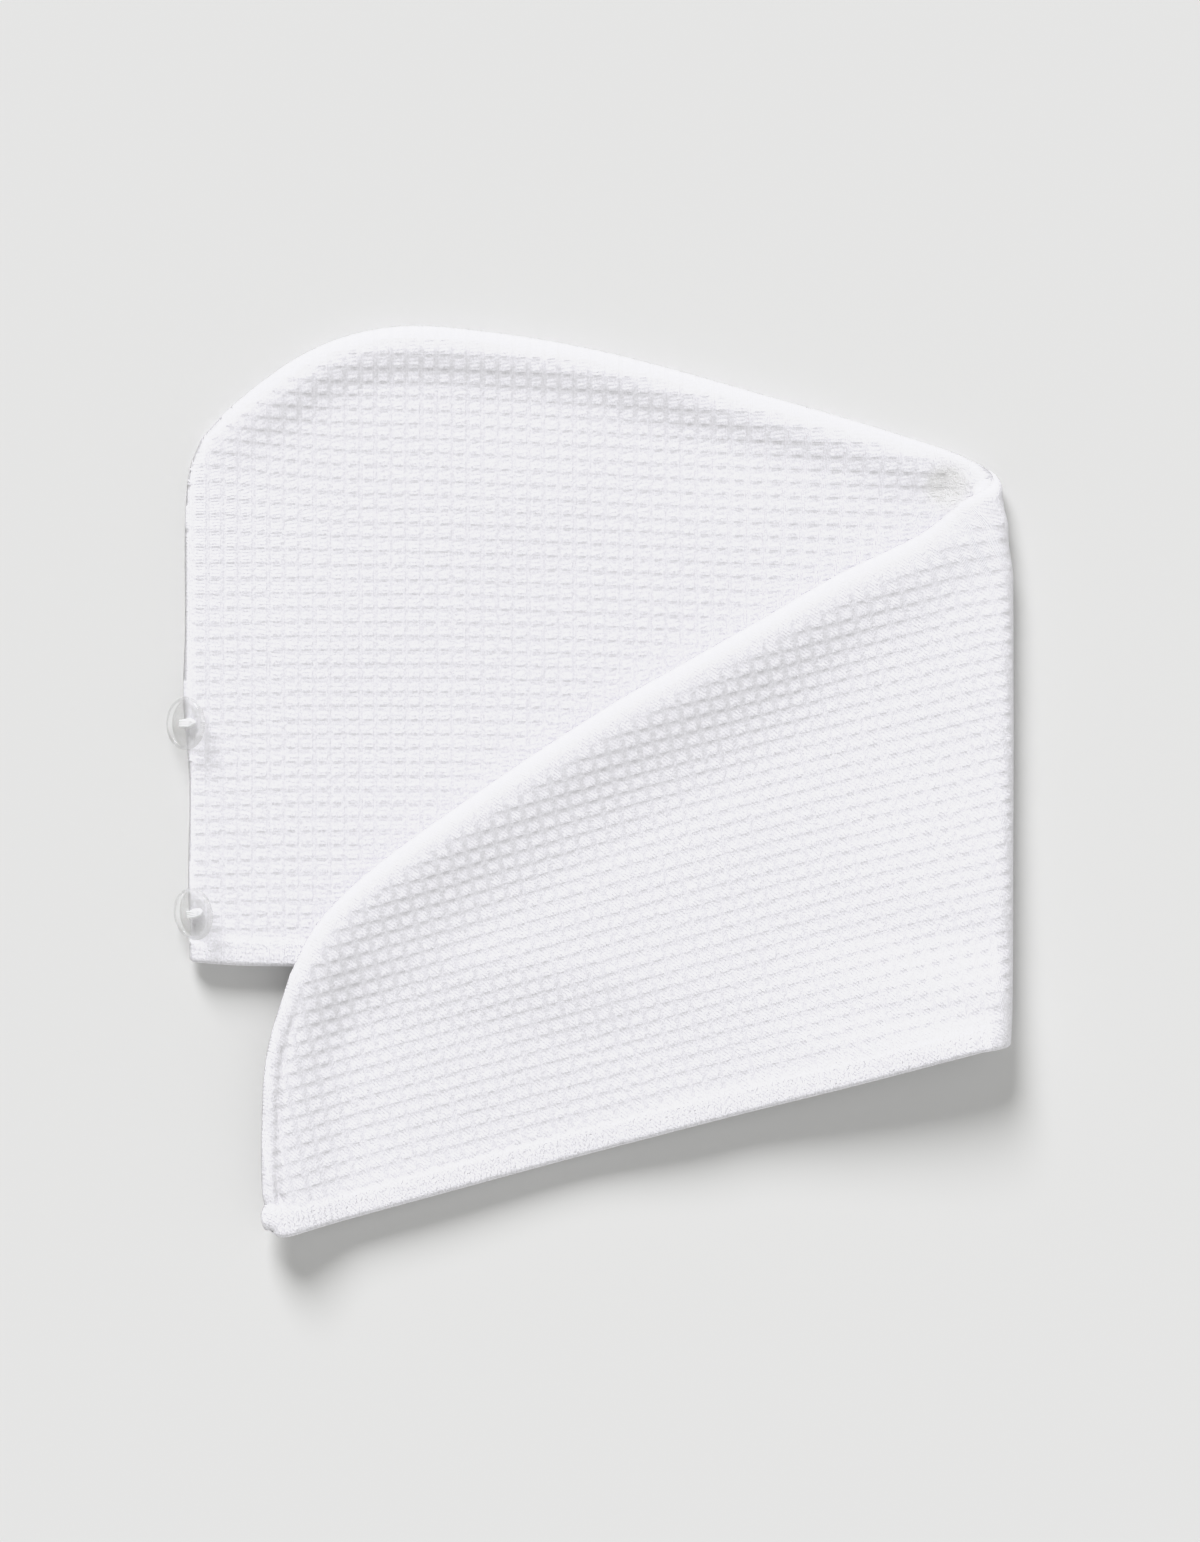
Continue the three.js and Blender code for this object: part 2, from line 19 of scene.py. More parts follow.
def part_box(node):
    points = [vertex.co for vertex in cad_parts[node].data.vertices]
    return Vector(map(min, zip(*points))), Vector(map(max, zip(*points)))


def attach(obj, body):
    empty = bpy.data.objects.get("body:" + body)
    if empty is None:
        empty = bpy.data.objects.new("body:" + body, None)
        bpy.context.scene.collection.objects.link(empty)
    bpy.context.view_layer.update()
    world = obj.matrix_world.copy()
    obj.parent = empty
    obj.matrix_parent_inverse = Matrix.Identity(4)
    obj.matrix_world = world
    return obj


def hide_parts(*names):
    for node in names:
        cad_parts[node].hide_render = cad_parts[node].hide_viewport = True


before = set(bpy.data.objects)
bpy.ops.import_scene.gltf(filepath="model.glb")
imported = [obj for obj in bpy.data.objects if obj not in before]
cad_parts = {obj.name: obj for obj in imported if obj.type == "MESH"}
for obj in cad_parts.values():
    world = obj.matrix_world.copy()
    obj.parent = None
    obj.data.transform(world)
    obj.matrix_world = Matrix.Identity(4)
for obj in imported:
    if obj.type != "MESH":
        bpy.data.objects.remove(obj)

LOG = logging.getLogger("hair_towel")
MM = 0.001
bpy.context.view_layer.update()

# The photograph's frame on the towel
FRAME_HEIGHT = 632.2
FRAME_CENTRE = (4.1, 4.3)

# How near a place counts as on a line, in millimetres, and how many places are measured at a time
ON_LINE = 0.02
NEAREST_BLOCK = 8000

# The foot, back and sides of a waffle cell's pillow, as shares of the cell
PILLOW_FOOT = (0.14, 0.31)
PILLOW_BACK = (0.5, 0.86)
PILLOW_SIDES = (0.4, 0.74)

Array = np.ndarray


class Panel(Enum):
    """The two panels of the towel. The value is the side of the pillow that the panel lies on."""

    UPPER = -1
    UNDER = 1


def clamp01(value: Array) -> Array:
    """Keep a value between 0 and 1."""
    return np.clip(value, 0.0, 1.0)


def smooth(value: Array) -> Array:
    """Rise smoothly from 0 to 1 as the value goes from 0 to 1."""
    held = clamp01(value)
    return held * held * (3 - 2 * held)


def mix(low: Array, high: Array, share: Array) -> Array:
    """Go from low to high by a share."""
    return low + (high - low) * share


def run_lengths(points: Array) -> Array:
    """Length along a polyline up to each of its points."""
    steps = np.linalg.norm(np.diff(points, axis=0), axis=1)
    return np.concatenate([[0.0], np.cumsum(steps)])


def spread(points: Array, step: float) -> Array:
    """Spread points evenly along a polyline, about a step apart."""
    lengths = run_lengths(points)
    at = np.linspace(0, lengths[-1], math.ceil(lengths[-1] / step) + 1)
    return np.column_stack([np.interp(at, lengths, points[:, i]) for i in (0, 1)])


class Line:
    """A smooth line through a few knots, with the length up to each of its points."""

    FINE = 48

    def __init__(self, knots: list[tuple[float, float]], step: float) -> None:
        """Draw the line.

        Args:
            knots: places that the line passes through.
            step: distance between the points of the finished line.
        """
        self.points = spread(self._centripetal(np.asarray(knots, float)), step)

    @classmethod
    def _centripetal(cls, knots: Array) -> Array:
        """Fine points of a centripetal curve through the knots.

        Args:
            knots: places that the curve passes through.
        Returns:
            The points, with the last knot as the last of them.
        """
        padded = np.vstack([2 * knots[0] - knots[1], knots, 2 * knots[-1] - knots[-2]])
        share = np.linspace(0, 1, cls.FINE, endpoint=False)[:, None]
        parts = []
        for before, start, end, after in zip(padded, padded[1:], padded[2:], padded[3:]):
            gap0, gap1, gap2 = (
                np.linalg.norm(b - a) ** 0.5 for a, b in ((before, start), (start, end), (end, after))
            )
            leave = (start - before) / gap0 - (end - before) / (gap0 + gap1) + (end - start) / gap1
            arrive = (end - start) / gap1 - (after - start) / (gap1 + gap2) + (after - end) / gap2
            leave, arrive = leave * gap1, arrive * gap1
            square = 3 * (end - start) - 2 * leave - arrive
            cube = 2 * (start - end) + leave + arrive
            parts.append(start + share * (leave + share * (square + share * cube)))
        return np.vstack([*parts, knots[-1:]])


@dataclass(frozen=True)
class Path:
    """A polyline that places are measured from."""

    points: Array

    def nearest(self, places: Array) -> tuple[Array, Array, Array]:
        """Measure places from the polyline.

        Args:
            places: one row of two numbers for each place.
        Returns:
            The distance, the way from the line to the place, and the length along the line.
        """
        lengths = run_lengths(self.points)
        best = np.full(len(places), np.inf)
        way = np.zeros((len(places), 2))
        along = np.zeros(len(places))
        closest = self._closest(places)
        for start in (closest - 1, closest):
            first = np.clip(start, 0, len(self.points) - 2)
            low, high = self.points[first], self.points[first + 1]
            length = lengths[first + 1] - lengths[first]
            ahead = (high - low) / length[:, None]
            run = np.clip(((places - low) * ahead).sum(axis=1), 0, length)
            off = places - low - ahead * run[:, None]
            distance = np.linalg.norm(off, axis=1)
            on_line = distance < ON_LINE
            side = np.column_stack([ahead[:, 1], -ahead[:, 0]])
            here = np.where(on_line[:, None], side, off / np.maximum(distance, ON_LINE)[:, None])
            nearer = distance < best
            best = np.where(nearer, np.where(on_line, 0, distance), best)
            way = np.where(nearer[:, None], here, way)
            along = np.where(nearer, lengths[first] + run, along)
        return best, way, along

    def _closest(self, places: Array) -> Array:
        """Index of the point nearest to each place."""
        square = (self.points**2).sum(axis=1)
        found = [
            np.argmin(square - 2 * block @ self.points.T, axis=1)
            for block in np.array_split(places, max(1, len(places) // NEAREST_BLOCK))
        ]
        return np.concatenate(found)


@dataclass(frozen=True)
class Bump:
    """A soft swell or dent of the visible cloth, in millimetres."""

    panel: Panel
    x: float
    y: float
    reach: float
    height: float


@dataclass(frozen=True)
class SeamSection:
    """How the panels curl to the seam at one place along it, in millimetres from the nape."""

    along: float
    upper_roll: float
    upper_ridge: float
    under_roll: float
    under_ridge: float
    under_slack: float
    ridge_reach: float
    bare: float


@dataclass(frozen=True)
class FoldSection:
    """How the fold lies at one height of the picture.

    inner is the way in from the seam to the fold's inner side, and edge its end at the right.
    """

    y: float
    half_pillow: float
    inner: float
    edge: float


@dataclass(frozen=True)
class DropSection:
    """How far the tail sinks past the hood's hem at one place from left to right."""

    x: float
    steep: float
    gentle: float


def read_table(rows: tuple, place: str, name: str, at: Array) -> Array:
    """Read one column of a table smoothly between its rows.

    Args:
        rows: the table's rows, in rising order.
        place: name of the column that the rows are ordered by.
        name: name of the column to read.
        at: where to read it.
    Returns:
        The value at each place.
    """
    stops = np.array([getattr(row, place) for row in rows], float)
    values = np.array([getattr(row, name) for row in rows], float)
    after = np.clip(np.searchsorted(stops, at), 1, len(stops) - 1)
    share = smooth((at - stops[after - 1]) / (stops[after] - stops[after - 1]))
    return mix(values[after - 1], values[after], share)


@dataclass(frozen=True)
class Drape:
    """The towel's sizes in millimetres, and where its cloth lies.

    The laid-out plane has s to the right and y up. Up to fold_x it is the hood as it lies; past the
    fold the tail runs on to the right.
    """

    cloth: float = 2.0
    hollow: float = 4.8
    pressed_half: float = 2.0
    fold_slit: float = 1.4
    sewn_gap: float = 0.12
    hem_width: float = 10.0
    fold_x: float = 162.9
    fold_run: float = 18.0
    ridge_from_seam: float = 8.0
    ridge_ease: float = 0.25
    slack_reach: float = 20.0
    press_from: float = 0.0
    press_run: float = 62.0
    nape_end: float = -126.0
    nape_reach: float = 30.0
    fold_reach: float = 110.0
    fold_shift_reach: float = 60.0
    steep_run: float = 36.0
    gentle_run: float = 90.0
    top_layer_lead: float = 8.0
    line_step: float = 1.5
    slope_step: float = 0.05
    seam_steepness: float = 1000.0
    side_line: tuple = (
        (-162.2, -74.6), (-163.9, -45.0), (-163.5, 0.4), (-166.0, 33.2),
        (-165.3, 60.0), (-165.0, 112.0), (-163.2, 128.0), (-158.8, 139.5),
    )
    crown_line: tuple = (
        (-158.8, 139.5), (-149.4, 150.0), (-133.7, 163.2), (-117.5, 174.0), (-100.0, 181.4),
        (-75.9, 185.6), (-45.1, 183.6), (3.9, 175.4), (85.8, 153.2), (114.1, 145.2),
        (137.0, 139.2), (147.5, 136.3), (158.1, 132.9), (162.9, 130.5),
    )
    diagonal_line: tuple = (
        (162.9, 115.6), (158.4, 113.4), (154.1, 110.6), (144.3, 105.3), (133.3, 98.6), (119.1, 91.8),
        (100.5, 82.6), (70.1, 64.8), (39.0, 47.2), (8.6, 29.8),
        (-52.9, -10.9), (-93.6, -41.4), (-112.0, -60.8), (-121.9, -79.7),
    )
    tail_end_line: tuple = (
        (-130.4, -184.3), (-132.2, -181.6), (-133.1, -178.2), (-132.2, -174.4), (-133.1, -170.2),
        (-133.6, -160.0), (-133.4, -139.0),
        (-132.6, -121.0), (-130.1, -106.2), (-121.9, -79.7),
    )
    hood_hem_line: tuple = (
        (-162.1, -74.6), (-143.5, -75.9), (-120.1, -76.3), (-45.1, -78.3),
        (45.1, -86.5), (127.1, -99.5), (162.9, -106.0),
    )
    tail_hem_line: tuple = (
        (162.9, -111.0), (107.4, -125.2), (50.0, -139.8), (-15.6, -157.2),
        (-73.0, -172.8), (-114.0, -184.1), (-122.0, -186.5), (-126.0, -187.0), (-128.7, -186.0),
        (-130.4, -184.3),
    )
    sections: tuple = (
        SeamSection(0, 4.5, 0.2, 4.5, 0, 0, 10, 0.8),
        SeamSection(200, 4.5, 0.4, 4.5, 0, 0, 10, 1.5),
        SeamSection(270, 4.5, 3.2, 4.5, 0, 0, 10, 3.5),
        SeamSection(330, 4.5, 3.3, 4.5, 0, 0, 10, 3.5),
        SeamSection(440, 4.5, 3.1, 4.5, 0, 0, 10, 4.0),
        SeamSection(530, 4.5, 2.0, 4, 0, 0, 9, 4.5),
        SeamSection(556, 2.0, 0.6, 2.0, 0, 0.1, 8, 5.0),
        SeamSection(584, 2.5, 0, 2.5, 0.6, 0.1, 10, 6.0),
        SeamSection(640, 4.5, 0, 4.5, 2.2, 0, 15, 9.0),
        SeamSection(720, 4.5, 0, 4.5, 2.2, 0, 16, 9.0),
        SeamSection(820, 4.5, 0, 4.5, 1.8, 0, 14, 8.5),
        SeamSection(930, 4.5, 0, 4.5, 0.8, 0, 12, 4.5),
        SeamSection(1040, 4.5, 0, 4.5, 0.4, 0, 10, 2.6),
    )
    fold_sections: tuple = (
        FoldSection(-112, 4.1, 5.7, 172.6),
        FoldSection(-92, 3.5, 4.7, 173.4),
        FoldSection(-60, 2.6, 3.4, 173.7),
        FoldSection(20, 1.9, 2.9, 174.0),
        FoldSection(82, 1.8, 2.8, 173.9),
        FoldSection(102, 2.0, 5.0, 171.6),
        FoldSection(115, 2.2, 8.5, 169.5),
        FoldSection(124, 2.4, 9.0, 169.2),
    )
    drops: tuple = (
        DropSection(-133, 1.4, 1.8),
        DropSection(-75, 1.6, 2.0),
        DropSection(-10, 2.3, 2.7),
        DropSection(50, 0.7, 0.7),
        DropSection(100, 0, 0),
    )
    bumps: tuple = (
        Bump(Panel.UPPER, -25, 118, 26, 0.7),
        Bump(Panel.UPPER, 55, 105, 22, 0.6),
        Bump(Panel.UPPER, -110, 60, 30, 0.5),
        Bump(Panel.UPPER, -60, 30, 28, -0.4),
        Bump(Panel.UPPER, 152, 121, 8, -1.6),
        Bump(Panel.UNDER, 60, -20, 34, 0.6),
        Bump(Panel.UNDER, -10, -35, 26, 0.5),
    )

    @property
    def half_pillow(self) -> float:
        """Half the height between the middles of the two panels."""
        return (self.hollow + self.cloth) / 2

    def laid_out(self, line: tuple) -> list[tuple[float, float]]:
        """A line of the folded tail, turned back into the laid-out plane."""
        return [(2 * self.fold_x + self.fold_run - x, y) for x, y in line]

    def seam(self) -> Array:
        """The whole seam in the laid-out plane, from the nape's hem to the tail's hem."""
        side = Line(self.side_line, self.line_step).points
        crown = Line(self.crown_line, self.line_step).points
        diagonal = Line(self.laid_out(self.diagonal_line), self.line_step).points
        tail_end = Line(self.laid_out(self.tail_end_line), self.line_step).points
        fold_top = Line([crown[-1], diagonal[0]], self.line_step).points
        return np.vstack([side, crown[1:], fold_top[1:-1], diagonal, tail_end[:-1][::-1]])

    def hem(self) -> Array:
        """The whole hem in the laid-out plane, from the nape to the tail's end."""
        hood = Line(self.hood_hem_line, self.line_step).points
        tail = Line(self.laid_out(self.tail_hem_line), self.line_step).points
        fold = Line([hood[-1], tail[0]], self.line_step).points
        return np.vstack([hood, fold[1:-1], tail])

    def section(self, name: str, along: Array) -> Array:
        """One measure of the seam's sections at lengths along the seam."""
        return read_table(self.sections, "along", name, along)

    def lies_at(self, s: Array) -> Array:
        """Where places of the laid-out plane lie from left to right, up to the fold."""
        return np.minimum(np.minimum(s, 2 * self.fold_x + self.fold_run - s), self.fold_x)

    def past_hem(self, x: Array, y: Array) -> Array:
        """How far below the hood's hem places lie."""
        hem_x, hem_y = zip(*self.hood_hem_line)
        return np.interp(x, hem_x, hem_y) - y

    def tail_edge(self, x: Array) -> Array:
        """Height of the tail's edge over the hood."""
        edge_x, edge_y = zip(*sorted(self.diagonal_line))
        return np.interp(x, edge_x, edge_y)

    @property
    def tail_start(self) -> float:
        """The left end of the tail's edge over the hood."""
        return min(x for x, _ in self.diagonal_line)

    def half_height(self, x: Array, y: Array) -> Array:
        """Half the height between the middles of the two panels.

        The tail's weight presses the hood under it. The fold is flatter, and open at its hem.

        Args:
            x: places from left to right as they lie.
            y: places across.
        Returns:
            The height at each place.
        """
        under = self.tail_edge(x) - y
        pressed = smooth((under - self.press_from) / self.press_run)
        pressed = pressed * smooth((x - self.nape_end) / self.nape_reach)
        height = mix(self.half_pillow, self.pressed_half, pressed)
        at_fold = read_table(self.fold_sections, "y", "half_pillow", y)
        return mix(height, at_fold, smooth(1 - (self.fold_x - x) / self.fold_reach))

    def drop(self, s: Array, y: Array, lead: Array) -> Array:
        """How far the tail sinks where it passes the hood's hem and reaches for the surface below."""
        x = self.lies_at(s)
        past = self.past_hem(x, y) + lead
        steep = read_table(self.drops, "x", "steep", x) * smooth(past / self.steep_run)
        gentle = read_table(self.drops, "x", "gentle", x) * smooth(past / self.gentle_run)
        return np.where(s > self.fold_x + self.fold_run, steep + gentle, 0)

    def swell(self, panel: Panel, s: Array, y: Array) -> Array:
        """Height of the soft swells and dents of the visible cloth."""
        in_tail = s > self.fold_x + self.fold_run / 2
        x = np.where(in_tail, 2 * self.fold_x + self.fold_run - s, s)
        height = np.zeros(len(s))
        for bump in self.bumps:
            near = ((x - bump.x) ** 2 + (y - bump.y) ** 2) / bump.reach**2
            shows = (bump.panel == panel) & (in_tail == (panel is Panel.UNDER))
            height += np.where(shows, bump.height * np.exp(-near), 0)
        return height

    def offset(self, panel: Panel, s: Array, y: Array, distance: Array, along: Array) -> Array:
        """How far a panel's middle lies from the middle between the panels.

        Args:
            panel: which panel.
            s: places along the laid-out plane.
            y: places across it.
            distance: how far each place lies from the seam.
            along: length along the seam of each place.
        Returns:
            The distance towards the outside of the fold.
        """
        name = panel.name.lower()
        upper = panel is Panel.UPPER
        reach = clamp01(distance / self.section(name + "_roll", along))
        curl = np.sqrt(1 - (1 - reach) ** 2)
        slack = 0.0 if upper else self.section("under_slack", along)
        filled = mix(curl, smooth(distance / self.slack_reach), slack)
        near = (distance - self.ridge_from_seam) / self.section("ridge_reach", along)
        ridge = self.section(name + "_ridge", along) * np.exp(-near * near)
        ridge = ridge * mix(curl, smooth(distance / self.ridge_from_seam), self.ridge_ease)
        full = self.half_height(self.lies_at(s), y)
        bulge = self.sewn_gap / 2 + (full - self.sewn_gap / 2) * filled + ridge
        bulge = bulge + curl * self.swell(panel, s, y)
        lead = 0.0 if upper else self.top_layer_lead * smooth(distance / self.ridge_from_seam)
        return panel.value * bulge - self.drop(s, y, lead)

    def wrap(self, s: Array, y: Array, away: Array) -> Array:
        """Bend places of the laid-out plane to where the cloth lies.

        Args:
            s: places along the laid-out plane.
            y: places across it.
            away: distance from the middle between the panels, towards the outside of the fold.
        Returns:
            One row of x, y and z for each place.
        """
        turn = clamp01((s - self.fold_x) / self.fold_run) * math.pi
        x = self.lies_at(s)
        half = self.half_height(x, y)
        outer, inner, edge = (
            read_table(self.fold_sections, "y", name, y) for name in ("half_pillow", "inner", "edge")
        )
        outer = outer + self.cloth / 2
        radius = inner + self.fold_slit / 2
        shift = (edge - radius - outer - self.fold_x) * smooth(
            1 - (self.fold_x - x) / self.fold_shift_reach
        )
        reach = np.where(away < 0, away * inner / outer, away)
        lift = (half + (self.fold_slit + self.cloth) / 2) * (1 - np.cos(turn))
        z = half + self.cloth / 2 + lift - away * np.cos(turn)
        return np.column_stack([x + shift + (radius + reach) * np.sin(turn), y, z])


@dataclass(frozen=True)
class Lie:
    """Where a set of places of the laid-out plane lies from the seam and the hem."""

    s: Array
    y: Array
    seam_distance: Array
    seam_way: Array
    along: Array
    hem_distance: Array

    @classmethod
    def of(cls, places: Array, seam: Path, hem: Path) -> "Lie":
        """Measure places from the seam and the hem."""
        distance, way, along = seam.nearest(places)
        hem_distance, _, _ = hem.nearest(places)
        return cls(places[:, 0], places[:, 1], distance, way, along, hem_distance)


@dataclass(frozen=True)
class Weave:
    """The waffle weave of a panel: its cells in the laid-out plane, in millimetres.

    Rows of cells follow a base line, and columns lean away from it.
    """

    drape: Drape
    panel: Panel
    column_pitch: float = 6.27
    row_pitch: float = 5.74
    tail_lean: float = 0.2
    lean_from: float = 40.0
    rounds: int = 12
    hood_rows: tuple = (
        (-175, -0.3), (-120, 1.2), (-60, 0.6), (0, -1.6), (60, -4.4), (120, -6.8), (163, -8.4),
        (190, -13.0), (240, -26.0), (520, -100.0),
    )
    crown_bend: tuple = (-168, 128, 40, 34, 7.0)
    sway: float = 0.45
    sway_lengths: tuple = (83.0, 47.0, 31.0, 58.0)
    corner_knots: int = 4

    def fold_stretch(self) -> float:
        """How long the panel is round the fold, as a share of the laid-out length."""
        drape = self.drape
        half = drape.pressed_half
        radius = half + (drape.fold_slit + drape.cloth) / 2
        return math.pi * (radius + self.panel.value * half) / drape.fold_run

    def stretched(self, length: Array) -> Array:
        """Place in the laid-out plane of a length of cloth."""
        drape = self.drape
        inside = np.clip(length - drape.fold_x, 0, drape.fold_run * self.fold_stretch())
        return length - inside + inside / self.fold_stretch()

    def unstretched(self, s: Array) -> Array:
        """Length of cloth up to a place in the laid-out plane."""
        inside = np.clip(s - self.drape.fold_x, 0, self.drape.fold_run)
        return s - inside + inside * self.fold_stretch()

    def base(self, length: Array) -> Array:
        """Height of the first row at a length of cloth."""
        drape = self.drape
        if self.panel is Panel.UPPER:
            knots = np.asarray(self.hood_rows, float)
            return np.interp(self.stretched(length), knots[:, 0], knots[:, 1])
        rows = [*drape.hood_hem_line, *drape.laid_out(drape.tail_hem_line)[: -self.corner_knots]]
        knots = np.asarray(rows, float)
        first, last = knots[1] - knots[0], knots[-1] - knots[-2]
        knots = np.vstack([knots[0] - 2 * first, knots, knots[-1] + 2 * last])
        return np.interp(self.stretched(length), knots[:, 0], knots[:, 1]) + drape.hem_width

    def lean(self, length: Array) -> Array:
        """Lean of the columns at a length of cloth, as a slope."""
        share = smooth((length - self.lean_from) / (self.drape.fold_x - self.lean_from))
        return self.tail_lean * share

    def bend(self, s: Array, y: Array) -> Array:
        """How far the rows are bent up or down from straight lines."""
        first, second, third, fourth = self.sway_lengths
        sway = self.sway * (np.sin(s / first + y / second) + np.sin(y / third - s / fourth + 1))
        if self.panel is Panel.UNDER:
            return sway
        x, middle, across, tall, height = self.crown_bend
        return sway + height * np.exp(-(((s - x) / across) ** 2) - ((y - middle) / tall) ** 2)

    def place(self, column: Array, row: Array) -> Array:
        """Places of the laid-out plane of numbered columns and rows, which may be fractions."""
        length = column * self.column_pitch
        rise = row * self.row_pitch
        s = self.stretched(length + self.lean(length) * rise)
        straight = self.base(length) + rise
        return np.column_stack([s, straight + self.bend(s, straight)])

    def cells(self, s: Array, y: Array) -> Array:
        """Columns and rows, as fractions, of places of the laid-out plane."""
        straight = y.copy()
        for _ in range(self.rounds):
            straight = y - self.bend(s, straight)
        goal = self.unstretched(s)
        length = goal.copy()
        for _ in range(self.rounds):
            rise = straight - self.base(length)
            length = goal - self.lean(length) * rise
        rise = straight - self.base(length)
        return np.column_stack([length / self.column_pitch, rise / self.row_pitch])


def inside_loop(loop: Array, places: Array) -> Array:
    """Tell which places lie inside a closed loop."""
    found = []
    x0, y0 = loop[:, 0], loop[:, 1]
    x1, y1 = np.roll(x0, -1), np.roll(y0, -1)
    slope = (x1 - x0) / np.where(y1 == y0, 1, y1 - y0)
    for block in np.array_split(places, max(1, len(places) // NEAREST_BLOCK)):
        x, y = block[:, :1], block[:, 1:]
        crosses = ((y0 > y) != (y1 > y)) & (x < x0 + slope * (y - y0))
        found.append(crosses.sum(axis=1) % 2 == 1)
    return np.concatenate(found)


@dataclass
class FlatMesh:
    """A mesh in the laid-out plane. The first places are the outline, in order round it."""

    places: Array
    faces: list[tuple[int, ...]]


@dataclass
class WaffleGrid:
    """Cuts a panel's outline into cells of its weave, finely where they show."""

    weave: Weave
    outline: Array
    seam: Path
    hem: Path
    across: tuple = (0.0, 0.13, 0.31, 0.5, 0.69, 0.87)
    upwards: tuple = (0.0, 0.14, 0.22, 0.31, 0.55, 0.8)
    hem_margin: float = 1.5
    seam_rows: tuple = (0.35, 1.0, 2.0, 3.2, 4.6, 6.2, 7.8, 9.4)
    hem_rows: tuple = (0.35, 0.9, 1.8, 3.2, 4.8, 6.4, 7.8, 8.8, 9.6, 10.5)
    row_step: float = 1.6
    least_share: float = 0.97
    fold_columns: int = 12
    clear_of_rows: float = 1.0
    same_place: float = 1e-7

    @property
    def fine(self) -> int:
        """Steps of a fine cell."""
        return len(self.across)

    def lattice(self) -> None:
        """Number the lattice's nodes and find which lie on bare weave."""
        reach = self.weave.cells(self.outline[:, 0], self.outline[:, 1])
        low = np.floor(reach.min(axis=0)).astype(int) - 1
        high = np.ceil(reach.max(axis=0)).astype(int) + 1
        axes = [
            (np.arange(a, b)[:, None] + np.array(fractions)).ravel()
            for a, b, fractions in zip(low, high, (self.across, self.upwards))
        ]
        self.low, self.count = low, high - low
        columns, rows = np.meshgrid(*axes, indexing="ij")
        self.shape = columns.shape
        self.nodes = self.weave.place(columns.ravel(), rows.ravel())
        lie = Lie.of(self.nodes, self.seam, self.hem)
        drape = self.weave.drape
        free = inside_loop(self.outline, self.nodes)
        free &= lie.seam_distance > drape.section("bare", lie.along)
        free &= lie.hem_distance > drape.hem_width + self.hem_margin
        self.free = free.reshape(self.shape)

    def sort_cells(self, shows) -> None:
        """Find the whole cells, and which of them show.

        Args:
            shows: a function that tells which places of the laid-out plane show.
        """
        n = self.fine
        wide, tall = (size - 1 for size in self.count)
        whole = np.ones((wide, tall), bool)
        for i in range(n + 1):
            for j in range(n + 1):
                whole &= self.free[i : i + n * wide : n, j : j + n * tall : n][:wide, :tall]
        nodes = self.nodes.reshape(*self.shape, 2)
        middles = nodes[n // 2 : n * wide : n, n // 2 : n * tall : n][:wide, :tall]
        seen = shows(middles.reshape(-1, 2)).reshape(wide, tall)
        self.whole = whole
        self.fine_cells = whole & seen

    def node(self, i: int, j: int) -> int:
        """Number of a lattice node."""
        return i * self.shape[1] + j

    def side(self, start: tuple[int, int], step: tuple[int, int], fine: bool) -> list[int]:
        """Nodes along a cell's side, without the last one."""
        n = self.fine
        stride = 1 if fine else n // 2
        return [self.node(start[0] + k * step[0], start[1] + k * step[1]) for k in range(0, n, stride)]

    def ring(self, i: int, j: int) -> list[list[int]]:
        """The four sides of a cell, each with the steps that its finer neighbour needs."""
        n = self.fine
        own = self.fine_cells[i, j]
        wide, tall = self.whole.shape
        beside = [
            (i, j - 1, (i * n, j * n), (1, 0)),
            (i + 1, j, ((i + 1) * n, j * n), (0, 1)),
            (i, j + 1, ((i + 1) * n, (j + 1) * n), (-1, 0)),
            (i - 1, j, (i * n, (j + 1) * n), (0, -1)),
        ]
        sides = []
        for a, b, start, step in beside:
            inside = 0 <= a < wide and 0 <= b < tall
            fine = bool(own or (inside and self.fine_cells[a, b]))
            sides.append(self.side(start, step, fine))
        return sides

    def cell_faces(self) -> tuple[list[tuple[int, ...]], list[tuple[int, int]]]:
        """Faces of the whole cells, and the edges where they end.

        Returns:
            Faces and border edges, as lattice nodes.
        """
        n = self.fine
        wide, tall = self.whole.shape
        faces: list[tuple[int, ...]] = []
        border: list[tuple[int, int]] = []
        for i, j in zip(*np.nonzero(self.whole)):
            sides = self.ring(i, j)
            loop = [node for side in sides for node in side]
            if self.fine_cells[i, j]:
                for a in range(n):
                    for b in range(n):
                        corner = self.node(i * n + a, j * n + b)
                        right = corner + self.shape[1]
                        faces.append((corner, right, right + 1, corner + 1))
            else:
                middle = self.node(i * n + n // 2, j * n + n // 2)
                faces += [(middle, p, q) for p, q in zip(loop, loop[1:] + loop[:1])]
            for (a, b), side, after in zip(
                ((i, j - 1), (i + 1, j), (i, j + 1), (i - 1, j)), sides, sides[1:] + sides[:1]
            ):
                if not (0 <= a < wide and 0 <= b < tall and self.whole[a, b]):
                    run = [*side, after[0]]
                    border += list(zip(run, run[1:]))
        return faces, border

